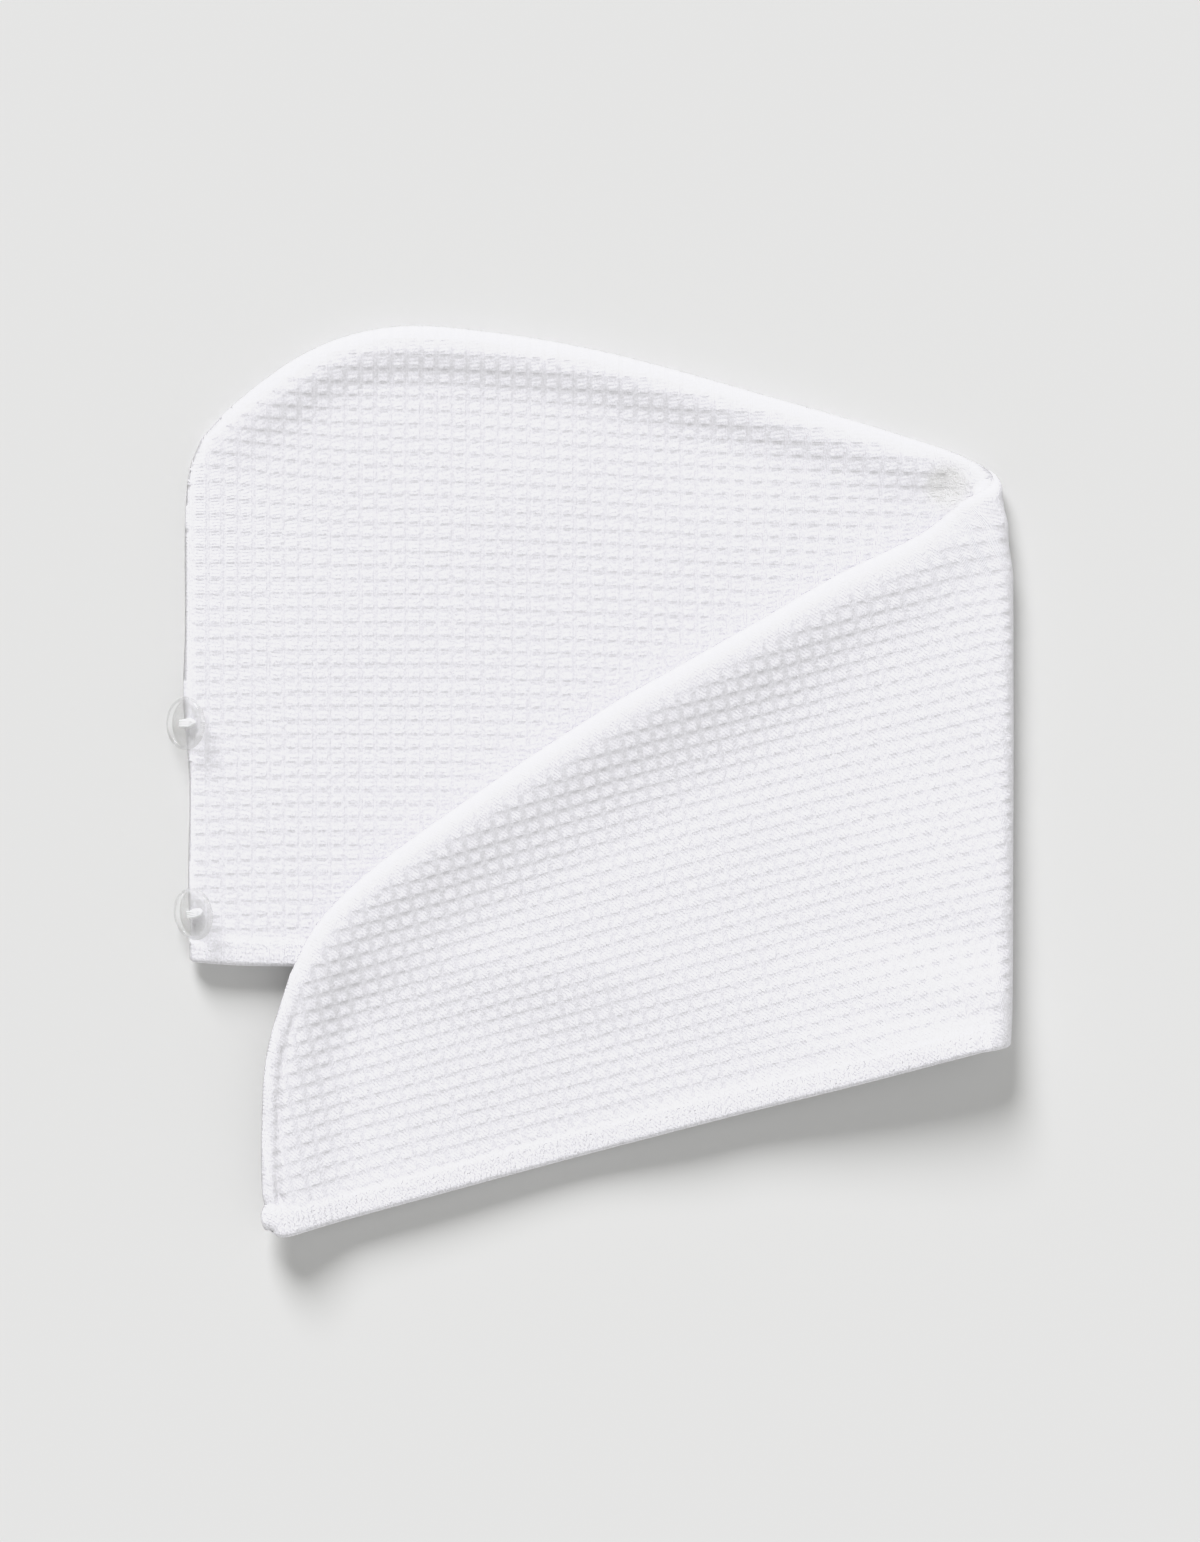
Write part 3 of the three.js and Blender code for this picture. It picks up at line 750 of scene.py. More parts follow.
    def banks(self, rows_from_seam: tuple, rows_from_hem: tuple, step: float) -> Array:
        """Places in rows beside the seam and the hem.

        Args:
            rows_from_seam: distances of the rows from the seam.
            rows_from_hem: distances of the rows from the hem.
            step: distance between places of a row.
        Returns:
            The places that lie inside the outline and no nearer to its other lines.
        """
        found = []
        for path, rows in ((self.seam, rows_from_seam), (self.hem, rows_from_hem)):
            line = spread(path.points, step)
            ahead = np.gradient(line, axis=0)
            ahead /= np.linalg.norm(ahead, axis=1)[:, None]
            turn = 1 if path is self.seam else -1
            side = turn * np.column_stack([ahead[:, 1], -ahead[:, 0]])
            other = self.hem if path is self.seam else self.seam
            for number, distance in enumerate(rows):
                shift = step / 2 * (number % 2)
                places = line + side * distance + ahead * shift
                own, _, _ = path.nearest(places)
                apart, _, _ = other.nearest(places)
                keep = inside_loop(self.outline, places)
                keep &= (own > self.least_share * distance) & (apart > distance)
                found.append(places[keep])
        return np.vstack(found)

    def outer(self, shows) -> FlatMesh:
        """Mesh of the side that shows its weave.

        Args:
            shows: a function that tells which places of the laid-out plane show.
        Returns:
            The mesh, finely cut where it shows.
        """
        self.lattice()
        self.sort_cells(shows)
        faces, border = self.cell_faces()
        banks = self.banks(self.seam_rows, self.hem_rows, self.row_step)
        cells = self.weave.cells(banks[:, 0], banks[:, 1])
        loose = self.free & ~self.in_whole()
        loose_nodes = self.nodes[loose.ravel()]
        in_bare = ~self.near_free(cells)
        extra = np.vstack([banks[in_bare], loose_nodes])
        return self.join(faces, border, extra)

    def in_whole(self) -> Array:
        """Which lattice nodes belong to a whole cell."""
        n = self.fine
        wide, tall = self.whole.shape
        used = np.zeros(self.shape, bool)
        for i in range(n + 1):
            for j in range(n + 1):
                view = used[i : i + n * wide : n, j : j + n * tall : n][:wide, :tall]
                view |= self.whole[: view.shape[0], : view.shape[1]]
        return used

    def near_free(self, cells: Array) -> Array:
        """Which places, given as columns and rows, lie on or right beside free lattice nodes."""
        n = self.fine
        index = np.floor((cells - self.low) * n + 0.5).astype(int)
        near = np.zeros(len(cells), bool)
        for di in (-1, 0, 1):
            for dj in (-1, 0, 1):
                i = np.clip(index[:, 0] + di, 0, self.shape[0] - 1)
                j = np.clip(index[:, 1] + dj, 0, self.shape[1] - 1)
                near |= self.free[i, j]
        return near

    def join(self, faces: list, border: list, extra: Array) -> FlatMesh:
        """Fill the strip between the outline and the whole cells.

        Args:
            faces: faces of the whole cells, as lattice nodes.
            border: edges where the whole cells end, as lattice nodes.
            extra: places of the strip.
        Returns:
            One mesh of cells and strip.
        """
        used = sorted({node for face in faces for node in face})
        number = {node: k + len(self.outline) for k, node in enumerate(used)}
        on_border = sorted({node for edge in border for node in edge})
        count = len(self.outline)
        parts = [self.outline, self.nodes[used], extra] if used else [self.outline, extra]
        places = np.vstack(parts)
        strip = [*range(count), *(number[node] for node in on_border)]
        strip += list(range(count + len(used), len(places)))
        short = {full: k for k, full in enumerate(strip)}
        edges = [(k, (k + 1) % count) for k in range(count)]
        edges += [(short[number[a]], short[number[b]]) for a, b in border]
        points = [Vector(places[k]) for k in strip]
        _, _, triangles, origins, _, _ = geometry.delaunay_2d_cdt(
            points, edges, [], 0, self.same_place, True
        )
        back = [strip[origin[0]] if origin else -1 for origin in origins]
        corners = np.array([[back[k] for k in triangle] for triangle in triangles])
        corners = corners[(corners >= 0).all(axis=1)]
        middles = places[corners].mean(axis=1)
        keep = inside_loop(self.outline, middles)
        if used:
            cells = np.floor(self.weave.cells(middles[:, 0], middles[:, 1])).astype(int) - self.low
            wide, tall = self.whole.shape
            held = (cells >= 0).all(axis=1) & (cells[:, 0] < wide) & (cells[:, 1] < tall)
            i, j = np.clip(cells[:, 0], 0, wide - 1), np.clip(cells[:, 1], 0, tall - 1)
            keep &= ~(held & self.whole[i, j])
        LOG.info("strip of %d places, %d made anew", len(strip), sum(k < 0 for k in back))
        joined = [tuple(number[node] for node in face) for face in faces]
        joined += [tuple(int(k) for k in triangle) for triangle in corners[keep]]
        return FlatMesh(places, joined)

    def inner(self, step: float) -> FlatMesh:
        """Mesh of the plain side inside the towel.

        Args:
            step: distance between the places of its rows and of its middle.
        Returns:
            The mesh, with the same outline as the outer side.
        """
        drape = self.weave.drape
        banks = self.banks(self.seam_rows[1::2], self.hem_rows[2::3], step / 2)
        low, high = self.outline.min(axis=0), self.outline.max(axis=0)
        across = np.arange(low[0], high[0], step)
        round_fold = np.linspace(drape.fold_x, drape.fold_x + drape.fold_run, self.fold_columns)
        far = (across < drape.fold_x - step / 2) | (across > drape.fold_x + drape.fold_run + step / 2)
        across = np.concatenate([across[far], round_fold])
        s, y = np.meshgrid(across, np.arange(low[1], high[1], step), indexing="ij")
        middle = np.column_stack([s.ravel(), y.ravel()])
        lie = Lie.of(middle, self.seam, self.hem)
        keep = inside_loop(self.outline, middle)
        keep &= lie.seam_distance > self.seam_rows[-1] + self.clear_of_rows
        keep &= lie.hem_distance > self.hem_rows[-1] + self.clear_of_rows
        return self.join([], [], np.vstack([banks, middle[keep]]))


class Signal:
    """A number socket of a node tree, on which Python's operators add Math nodes."""

    def __init__(self, graph: "Graph", socket: bpy.types.NodeSocket) -> None:
        """Hold a socket and the graph that it belongs to."""
        self.graph = graph
        self.socket = socket

    def math(self, operation: str, *others: object) -> "Signal":
        """Add a Math node that starts from this socket."""
        return self.graph.math(operation, self, *others)

    def __add__(self, other: object) -> "Signal":
        """Add."""
        return self.math("ADD", other)

    __radd__ = __add__

    def __mul__(self, other: object) -> "Signal":
        """Multiply."""
        return self.math("MULTIPLY", other)

    __rmul__ = __mul__

    def __sub__(self, other: object) -> "Signal":
        """Take away."""
        return self.math("SUBTRACT", other)

    def __rsub__(self, other: object) -> "Signal":
        """Take this away from something else."""
        return self.graph.math("SUBTRACT", other, self)

    def __abs__(self) -> "Signal":
        """Drop the sign."""
        return self.math("ABSOLUTE")

    def wave(self) -> "Signal":
        """Sine, with the value as whole turns."""
        return (self * math.tau).math("SINE")

    def near(self, place: float, reach: float) -> "Signal":
        """Fall smoothly from 1 at a place to 0 at a reach from it."""
        return 1 - abs(self - place).rise(0.0, reach)

    def rise(self, low: float, high: float) -> "Signal":
        """Rise smoothly from 0 at low to 1 at high."""
        node = self.graph.node(
            "ShaderNodeMapRange",
            {"interpolation_type": "SMOOTHSTEP"},
            {"Value": self, "From Min": low, "From Max": high},
        )
        return Signal(self.graph, node.outputs["Result"])


class Graph:
    """Builds one node tree, for a finish or for a shape."""

    def __init__(self, tree: bpy.types.NodeTree) -> None:
        """Hold the tree."""
        self.tree = tree

    def node(self, kind: str, settings: dict | None = None, inputs: dict | None = None) -> bpy.types.Node:
        """Add a node.

        Args:
            kind: type of the node.
            settings: its properties, which are set first.
            inputs: a value or a link for each socket, by name or number.
        Returns:
            The node.
        """
        made = self.tree.nodes.new(kind)
        for name, value in (settings or {}).items():
            setattr(made, name, value)
        for key, value in (inputs or {}).items():
            self.feed(made.inputs[key], value)
        return made

    def feed(self, socket: bpy.types.NodeSocket, value: object) -> None:
        """Link a socket, or set its own value."""
        if isinstance(value, Signal):
            value = value.socket
        if isinstance(value, bpy.types.NodeSocket):
            self.tree.links.new(value, socket)
        else:
            socket.default_value = value

    def signal(self, kind: str, settings: dict | None, inputs: dict | None, output: str) -> Signal:
        """Add a node and take one of its outputs."""
        return Signal(self, self.node(kind, settings, inputs).outputs[output])

    def math(self, operation: str, *values: object) -> Signal:
        """Add a Math node."""
        node = self.node("ShaderNodeMath", {"operation": operation}, dict(enumerate(values)))
        return Signal(self, node.outputs[0])

    def split(self, vector: bpy.types.NodeSocket) -> list[Signal]:
        """The three numbers of a vector."""
        node = self.node("ShaderNodeSeparateXYZ", None, {0: vector})
        return [Signal(self, output) for output in node.outputs]

    def blend(self, factor: object, low: object, high: object) -> bpy.types.NodeSocket:
        """Mix two colours."""
        node = self.node("ShaderNodeMix", {"data_type": "RGBA"}, {0: factor, 6: low, 7: high})
        return node.outputs[2]

    def noise(self, places: object, scale: float, detail: float, roughness: float = 0.5) -> Signal:
        """Soft noise over places, about 0.5."""
        inputs = {"Vector": places, "Scale": scale, "Detail": detail, "Roughness": roughness}
        return self.signal("ShaderNodeTexNoise", None, inputs, "Fac")

    def stored(self, name: str) -> Signal:
        """A number that is stored on the mesh, for a finish."""
        return self.signal("ShaderNodeAttribute", {"attribute_name": name}, None, "Fac")

    def bump(self, shader: bpy.types.Node, height: Signal, strength: float = 1.0) -> None:
        """Raise a finish's surface by a height in metres."""
        inputs = {"Height": height, "Strength": strength, "Distance": 1.0}
        self.feed(shader.inputs["Normal"], self.node("ShaderNodeBump", None, inputs).outputs[0])

    def pillow(self, column: Signal, row: Signal) -> tuple[Signal, Signal]:
        """How high a place lies on the pillow of its waffle cell.

        A pillow's upper side is broad and its lower side short and steep.

        Args:
            column: column as a fraction.
            row: row as a fraction.
        Returns:
            1 on the pillow's crest and 0 in the channels round it, and 1 on the pillow's own columns.
        """
        across = abs(column.math("FRACT") - 0.5) * 2
        up = row.math("FRACT")
        swell = up.rise(*PILLOW_FOOT) * (1 - up.rise(*PILLOW_BACK))
        sides = 1 - across.rise(*PILLOW_SIDES)
        return swell * sides, sides


class ShapeTree:
    """A Geometry Nodes tree whose inputs are set on the modifier by their identifiers."""

    def __init__(self, name: str, inputs: dict[str, tuple[str, object]]) -> None:
        """Start a tree.

        Args:
            name: name of the tree.
            inputs: kind of socket and value of each named input.
        """
        self.tree = bpy.data.node_groups.new(name, "GeometryNodeTree")
        self.values = {}
        face = self.tree.interface
        face.new_socket("Geometry", in_out="INPUT", socket_type="NodeSocketGeometry")
        for label, (kind, value) in inputs.items():
            socket = face.new_socket(label, in_out="INPUT", socket_type="NodeSocket" + kind)
            self.values[socket.identifier] = value
        face.new_socket("Geometry", in_out="OUTPUT", socket_type="NodeSocketGeometry")
        self.graph = Graph(self.tree)
        self.source = self.graph.node("NodeGroupInput")

    def __getitem__(self, label: str) -> Signal:
        """A named input as a signal."""
        return Signal(self.graph, self.source.outputs[label])

    def finish(self, shape: bpy.types.NodeSocket) -> None:
        """End the tree with realized instances in one finish."""
        real = self.graph.node("GeometryNodeRealizeInstances", None, {"Geometry": shape})
        dressed = self.graph.node(
            "GeometryNodeSetMaterial", None, {"Geometry": real.outputs[0], "Material": self["Finish"]}
        )
        self.graph.node("NodeGroupOutput", None, {0: dressed.outputs[0]})

    def apply(self, obj: bpy.types.Object) -> None:
        """Run the tree on an object and keep the plain mesh that it makes."""
        modifier = obj.modifiers.new("shape", "NODES")
        modifier.node_group = self.tree
        for identifier, value in self.values.items():
            modifier[identifier] = value
        bake_modifiers(obj)


def bake_modifiers(obj: bpy.types.Object) -> None:
    """Put an object's evaluated mesh in its place, and drop its modifiers."""
    bpy.context.view_layer.update()
    graph = bpy.context.evaluated_depsgraph_get()
    made = bpy.data.meshes.new_from_object(obj.evaluated_get(graph))
    old = obj.data
    obj.modifiers.clear()
    obj.data = made
    made.name = obj.name
    bpy.data.meshes.remove(old)


def new_object(name: str, mesh: bpy.types.Mesh) -> bpy.types.Object:
    """Put a mesh in the scene as an object."""
    obj = bpy.data.objects.new(name, mesh)
    bpy.context.scene.collection.objects.link(obj)
    return obj


def from_places(name: str, vertices: Array, faces: list) -> bpy.types.Object:
    """Make a mesh object in the scene from places in metres."""
    mesh = bpy.data.meshes.new(name)
    mesh.from_pydata([tuple(place) for place in vertices], [], faces)
    mesh.update()
    return new_object(name, mesh)


def from_bmesh(name: str, shape: bmesh.types.BMesh) -> bpy.types.Object:
    """Make a mesh object in the scene from an edited mesh, which is freed."""
    mesh = bpy.data.meshes.new(name)
    shape.to_mesh(mesh)
    shape.free()
    return new_object(name, mesh)


def new_material(name: str) -> tuple[bpy.types.Material, Graph, bpy.types.Node]:
    """A material with a graph and its Principled shader."""
    material = bpy.data.materials.new(name)
    material.use_nodes = True
    shader = next(node for node in material.node_tree.nodes if node.type == "BSDF_PRINCIPLED")
    return material, Graph(material.node_tree), shader


@dataclass(frozen=True)
class WaffleCotton:
    """White cotton in waffle weave: threads, a soft nap, fine creases on its plain bands, and painted
    shade in its channels, under its pillows, in the seam's groove and in the pocket at the fold's tip.
    """

    # The cloth's own colour on the ridges, and a darker copy of it that paints shade in the channels
    ridge_colour: tuple = (0.958, 0.95, 0.99, 1)
    pit_shade_colour: tuple = (0.862, 0.854, 0.892, 1)
    shade_colour: tuple = (0.78, 0.772, 0.802, 1)
    pillow_shadow_shade: float = 0.46
    groove_shade: float = 1.0
    grain_shade: float = 0.7
    # Share of the channels' painted shade that the plain bands take, and how much less of it the hem
    # takes
    plain_share: float = 0.5
    hem_share: float = 0.3
    # Painted shadows under the pillows: place, reach and share of each dash, and the sides where they
    # fade
    pillow_shadow_lines: tuple = ((0.24, 0.11, 1.0), (0.06, 0.08, 0.6))
    pillow_shadow_sides: tuple = (0.34, 0.64)
    # Painted shade: a warm grey darkening of the pocket at the fold's tip, where the fold's walls shade
    # the hood
    pocket_shade_colour: tuple = (0.875, 0.87, 0.865, 1)
    pocket_place: tuple = (0.147, 0.121, 0.006)
    pocket_reach: float = 0.013
    threads_per_cell: float = 11.0
    thread_height: float = 0.00018
    creases_per_cell: float = 3.0
    crease_height: float = 0.00026
    dimple_height: float = 0.00014
    nap_height: float = 0.0005
    grain_height: float = 0.0002
    nap_scale: float = 480.0
    grain_scale: float = 1200.0
    pucker_height: float = 0.00025
    pucker_turns: float = 300.0
    pucker_lean: float = 0.8
    bump_strength: float = 0.85
    cloud_scale: float = 45.0
    roughness: float = 0.65
    low_tone: float = 0.7
    cloud_tone: float = 0.3
    nap_tone: float = 0.9
    fleck: tuple = (0.35, 0.65)
    pocket_core: float = 0.4
    pocket_shade_share: float = 0.8
    matt: float = 0.88
    matt_spread: float = 0.1
    dimple_middle: tuple = (0.5, 0.36)
    dimple_edge: tuple = (0.02, 0.2)
    sockets: tuple = (("Sheen Weight", 0.12), ("Sheen Roughness", 0.5), ("Specular IOR Level", 0.2))

    def material(self) -> bpy.types.Material:
        """Build the finish."""
        material, graph, shader = new_material("waffle_cotton")
        column, row, _ = graph.split(graph.node("ShaderNodeUVMap", {"uv_map": "weave"}).outputs[0])
        relief, hem, groove = (graph.stored(name) for name in ("relief", "hem", "groove"))
        pillow, on_rows = graph.pillow(column, row)
        places = graph.node("ShaderNodeTexCoord").outputs["Object"]
        cloud = graph.noise(places, self.cloud_scale, 2.0, self.roughness)
        nap = graph.noise(places, self.nap_scale, 4.0, self.roughness)
        grain = graph.noise(places, self.grain_scale, 2.0, self.roughness)
        # Where the pocket at the fold's tip lies, for its painted shade and its fine creases
        ends = {0: places, 1: self.pocket_place}
        distance = graph.signal("ShaderNodeVectorMath", {"operation": "DISTANCE"}, ends, "Value")
        pocket = 1 - distance.rise(self.pocket_reach * self.pocket_core, self.pocket_reach)

        # Painted shade: the channels round the pillows are darker, and the plain bands take part of that
        # shade, the hem less; cloud and nap add random tone
        low = (1 - pillow) * relief + (1 - relief) * (self.plain_share - hem * self.hem_share)
        depth = low * self.low_tone + (cloud - 0.5) * self.cloud_tone + (nap - 0.5) * self.nap_tone
        cotton = graph.blend(depth, self.ridge_colour, self.pit_shade_colour)
        # Painted shadows: dark dashes under each pillow
        shade = self.pillow_shadow(column, row) * relief * self.pillow_shadow_shade
        # Painted shade in the groove beside the seam at the tail's end; the grain's flecks are random
        # tone
        shade = shade + (1 - grain.rise(*self.fleck)) * self.grain_shade + groove * self.groove_shade
        cotton = graph.blend(shade, cotton, self.shade_colour)
        # Painted shade in the pocket at the fold's tip
        pocket_shaded = graph.blend(pocket * self.pocket_shade_share, cotton, self.pocket_shade_colour)
        graph.feed(shader.inputs["Base Color"], pocket_shaded)
        graph.feed(shader.inputs["Roughness"], self.matt + nap * self.matt_spread)

        along_rows = (row * self.threads_per_cell).wave()
        along_columns = (column * self.threads_per_cell).wave()
        threads = along_rows * on_rows + along_columns * (1 - on_rows)
        creases = (column * self.creases_per_cell + cloud * 3 + nap * 2).wave() * hem
        middle_column, middle_row = self.dimple_middle
        middle = (1 - abs(column.math("FRACT") - middle_column).rise(*self.dimple_edge)) * (
            1 - abs(row.math("FRACT") - middle_row).rise(*self.dimple_edge)
        )
        east, north, _ = graph.split(places)
        puckers = ((east + north * self.pucker_lean) * self.pucker_turns + cloud * 9 + nap * 4).wave()
        height = threads * (self.thread_height / 2) + nap * self.nap_height + grain * self.grain_height
        height = height + creases * (self.crease_height / 2) - middle * relief * self.dimple_height
        height = height + puckers * pocket * (self.pucker_height / 2)
        graph.bump(shader, height, self.bump_strength)
        for name, value in self.sockets:
            shader.inputs[name].default_value = value
        return material

    def pillow_shadow(self, column: Signal, row: Signal) -> Signal:
        """Painted shadows: the dark dashes below each pillow."""
        up = row.math("FRACT")
        lines = sum(up.near(place, reach) * share for place, reach, share in self.pillow_shadow_lines)
        across = abs(column.math("FRACT") - 0.5) * 2
        return lines * (1 - across.rise(*self.pillow_shadow_sides))


@dataclass(frozen=True)
class SewingCotton:
    """White twisted sewing thread."""

    colour: tuple = (0.86, 0.86, 0.87, 1)
    twist_scale: float = 1400.0
    twist_height: float = 0.0001
    dark_share: float = 0.93
    matt: float = 0.75
    matt_spread: float = 0.15

    def material(self) -> bpy.types.Material:
        """Build the finish."""
        material, graph, shader = new_material("sewing_cotton")
        places = graph.node("ShaderNodeTexCoord").outputs["Object"]
        fibre = graph.noise(places, self.twist_scale, 2.0)
        darker = tuple(value * self.dark_share for value in self.colour[:3]) + (1,)
        graph.feed(shader.inputs["Base Color"], graph.blend(fibre, darker, self.colour))
        graph.feed(shader.inputs["Roughness"], self.matt + fibre * self.matt_spread)
        graph.bump(shader, fibre * self.twist_height)
        return material


@dataclass(frozen=True)
class ClearPlastic:
    """Clear polished plastic with the faint handling marks of a worn button."""

    colour: tuple = (0.985, 0.99, 0.99, 1)
    index: float = 1.49
    thin_alpha: float = 0.05
    rim_alpha: float = 0.36
    mark_scale: float = 260.0
    mark_edge: tuple = (0.5, 0.75)
    mark_roughness: float = 0.06
    polish: float = 0.03

    def material(self) -> bpy.types.Material:
        """Build the finish."""
        material, graph, shader = new_material("clear_plastic")
        places = graph.node("ShaderNodeTexCoord").outputs["Object"]
        marks = graph.noise(places, self.mark_scale, 3.0).rise(*self.mark_edge)
        graph.feed(shader.inputs["Roughness"], self.polish + marks * self.mark_roughness)
        shader.inputs["Base Color"].default_value = self.colour
        shader.inputs["Transmission Weight"].default_value = 1.0
        shader.inputs["IOR"].default_value = self.index
        rim = graph.stored("rim")
        graph.feed(shader.inputs["Alpha"], self.thin_alpha + rim * (self.rim_alpha - self.thin_alpha))
        return material


@dataclass(frozen=True)
class FloorPaper:
    """The plain pale surface that the towel lies on."""

    colour: tuple = (0.7055, 0.7055, 0.7015, 1)

    def material(self) -> bpy.types.Material:
        """Build the finish."""
        material, _, shader = new_material("floor_paper")
        shader.inputs["Base Color"].default_value = self.colour
        shader.inputs["Roughness"].default_value = 1.0
        shader.inputs["Specular IOR Level"].default_value = 0.0
        return material


@dataclass
class ClothPanel:
    """One sewn panel of the towel: its outline, its thickness, its weave and its hem."""

    drape: Drape
    panel: Panel
    finish: bpy.types.Material
    pillow_height: float = 0.34
    pillow_mean: float = 0.28
    unevenness: float = 0.25
    seed: int = 7
    columns_counted: float = 997.0
    weave_fades: float = 4.0
    fades_over_tail: float = 20.0
    least_relief: float = 0.15
    fold_fade: float = 4.0
    tail_fade: float = 6.0
    before_seam: float = 1.0
    past_hem: float = 0.5
    before_fold: float = 1.0
    past_fold: float = 2.0
    hem_edge: float = 1.8
    hem_turn: float = 0.5
    hem_rise: float = 0.5
    hem_lift: float = 0.7
    hem_bead: float = 0.1
    hem_waffle: float = 0.4
    hem_soft: float = 3.0
    band_past_hem: float = 1.2
    band_soft: float = 2.6
    bead_inside: float = 0.6
    turn_past_hem: float = 0.6
    turn_soft: float = 1.2
    thin_edge: float = 0.2
    groove_from_end: float = 5.8
    groove_width: float = 1.5
    groove_depth: float = 1.7
    groove_start: float = 930.0
    groove_run: float = 40.0
    groove_from_hem: float = 8.0
    groove_soft: float = 4.0
    pit_depth: float = 1.2
    pit_from_hem: float = 12.0
    pit_reach: float = 3.0
    shows_within: float = 18.0
    inner_step: float = 6.0

    def __post_init__(self) -> None:
        """Draw the outline."""
        self.seam = Path(self.drape.seam())
        self.hem = Path(self.drape.hem())
        self.outline = np.vstack([self.hem.points, self.seam.points[::-1][:-1]])
        self.weave = Weave(self.drape, self.panel)
        self.name = self.panel.name.lower()

    def shows(self, places: Array) -> Array:
        """Tell which places of the laid-out plane show, or bend too tightly for large steps."""
        drape = self.drape
        s, y = places[:, 0], places[:, 1]
        if self.panel is Panel.UNDER:
            return s > drape.fold_x - self.before_fold
        bare = (y > drape.tail_edge(s) - self.shows_within) | (s < drape.tail_start)
        round_fold = s < drape.fold_x + drape.fold_run + self.past_fold
        return (bare | (s > drape.fold_x - self.past_fold)) & round_fold

    def outside(self, lie: Lie) -> Array:
        """Thickness of the cloth from its middle to its outer side."""
        drape = self.drape
        half = drape.cloth / 2
        if self.panel is Panel.UPPER:
            seen = smooth((drape.fold_x - lie.s) / self.shows_within)
        else:
            seen = smooth((lie.s - drape.fold_x - drape.fold_run / 2) / self.shows_within)
        bead = np.exp(-((lie.hem_distance - drape.hem_width + self.bead_inside) ** 2))
        lift = self.hem_lift * clamp01(1 - lie.hem_distance / drape.hem_width)
        rise = seen * (self.hem_rise * self.band(lie) + self.hem_bead * bead + lift)
        pit = self.pit_depth * np.exp(-(((lie.hem_distance - self.pit_from_hem) / self.pit_reach) ** 2))
        groove = seen * (self.groove_depth + pit) * self.groove(lie)
        return (half + rise - groove) * self.edge(lie)

    def groove(self, lie: Lie) -> Array:
        """Share of the groove that runs beside the seam at the tail's end."""
        near = (lie.seam_distance - self.groove_from_end) / self.groove_width
        at_end = smooth((lie.along - self.groove_start) / self.groove_run)
        at_end = at_end * smooth((lie.hem_distance - self.groove_from_hem) / self.groove_soft)
        return np.exp(-near * near) * at_end

    def band(self, lie: Lie) -> Array:
        """Share of the turned hem at each place."""
        past = self.drape.hem_width + self.band_past_hem - lie.hem_distance
        return smooth(past / self.band_soft)

    def inside(self, lie: Lie) -> Array:
        """Thickness of the cloth from its middle to its inner side."""
        past = self.drape.hem_width + self.turn_past_hem - lie.hem_distance
        turned = self.hem_turn * smooth(past / self.turn_soft)
        return (self.drape.cloth / 2 + turned) * self.edge(lie)

    def edge(self, lie: Lie) -> Array:
        """Share of the thickness that is left near the hem's rounded edge."""
        reach = clamp01(lie.hem_distance / self.hem_edge)
        return mix(self.thin_edge, 1.0, np.sqrt(1 - (1 - reach) ** 2))

    def relief(self, lie: Lie) -> Array:
        """Share of the waffle's depth at each place."""
        drape = self.drape
        bare = drape.section("bare", lie.along)
        beside_seam = smooth((lie.seam_distance - bare + self.before_seam) / self.weave_fades)
        on_hem = self.hem_waffle * smooth(lie.hem_distance / self.hem_soft)
        inside_hem = smooth((lie.hem_distance - drape.hem_width - self.past_hem) / self.hem_soft)
        share = beside_seam * mix(on_hem, 1.0, inside_hem)
        if self.panel is Panel.UNDER:
            return share * smooth((lie.s - drape.fold_x - drape.fold_run / 2) / self.tail_fade)
        above = smooth((lie.y - drape.tail_edge(lie.s)) / self.fades_over_tail)
        beside_tail = np.where(lie.s < drape.tail_start, 1.0, mix(self.least_relief, 1.0, above))
        return share * beside_tail * smooth((drape.fold_x - self.fold_fade - lie.s) / self.fold_fade)

    def lay(self, lie: Lie, thickness: Array) -> Array:
        """Where the cloth lies, at a thickness to one side of its middle.

        Args:
            lie: places of the laid-out plane.
            thickness: distance from the middle of the cloth, towards the outside of the fold.
        Returns:
            One row of x, y and z for each place, in millimetres.
        """
        drape, panel, step = self.drape, self.panel, self.drape.slope_step

        def height(ds: float, dy: float, near: Array) -> Array:
            """Offset of the middle beside each place."""
            return drape.offset(panel, lie.s + ds, lie.y + dy, near, lie.along)

        here = lie.seam_distance
        low, high = np.maximum(here - step, 0), here + step
        towards = (height(0, 0, high) - height(0, 0, low)) / (high - low)
        towards = np.where(here == 0, np.sign(towards) * drape.seam_steepness, towards)
        slope_s = (height(step, 0, here) - height(-step, 0, here)) / (2 * step)
        slope_y = (height(0, step, here) - height(0, -step, here)) / (2 * step)
        out = np.column_stack([
            -slope_s - towards * lie.seam_way[:, 0],
            -slope_y - towards * lie.seam_way[:, 1],
            np.ones(len(here)),
        ])
        out /= np.linalg.norm(out, axis=1)[:, None]
        moved = out * thickness[:, None]
        return drape.wrap(lie.s + moved[:, 0], lie.y + moved[:, 1], height(0, 0, here) + moved[:, 2])

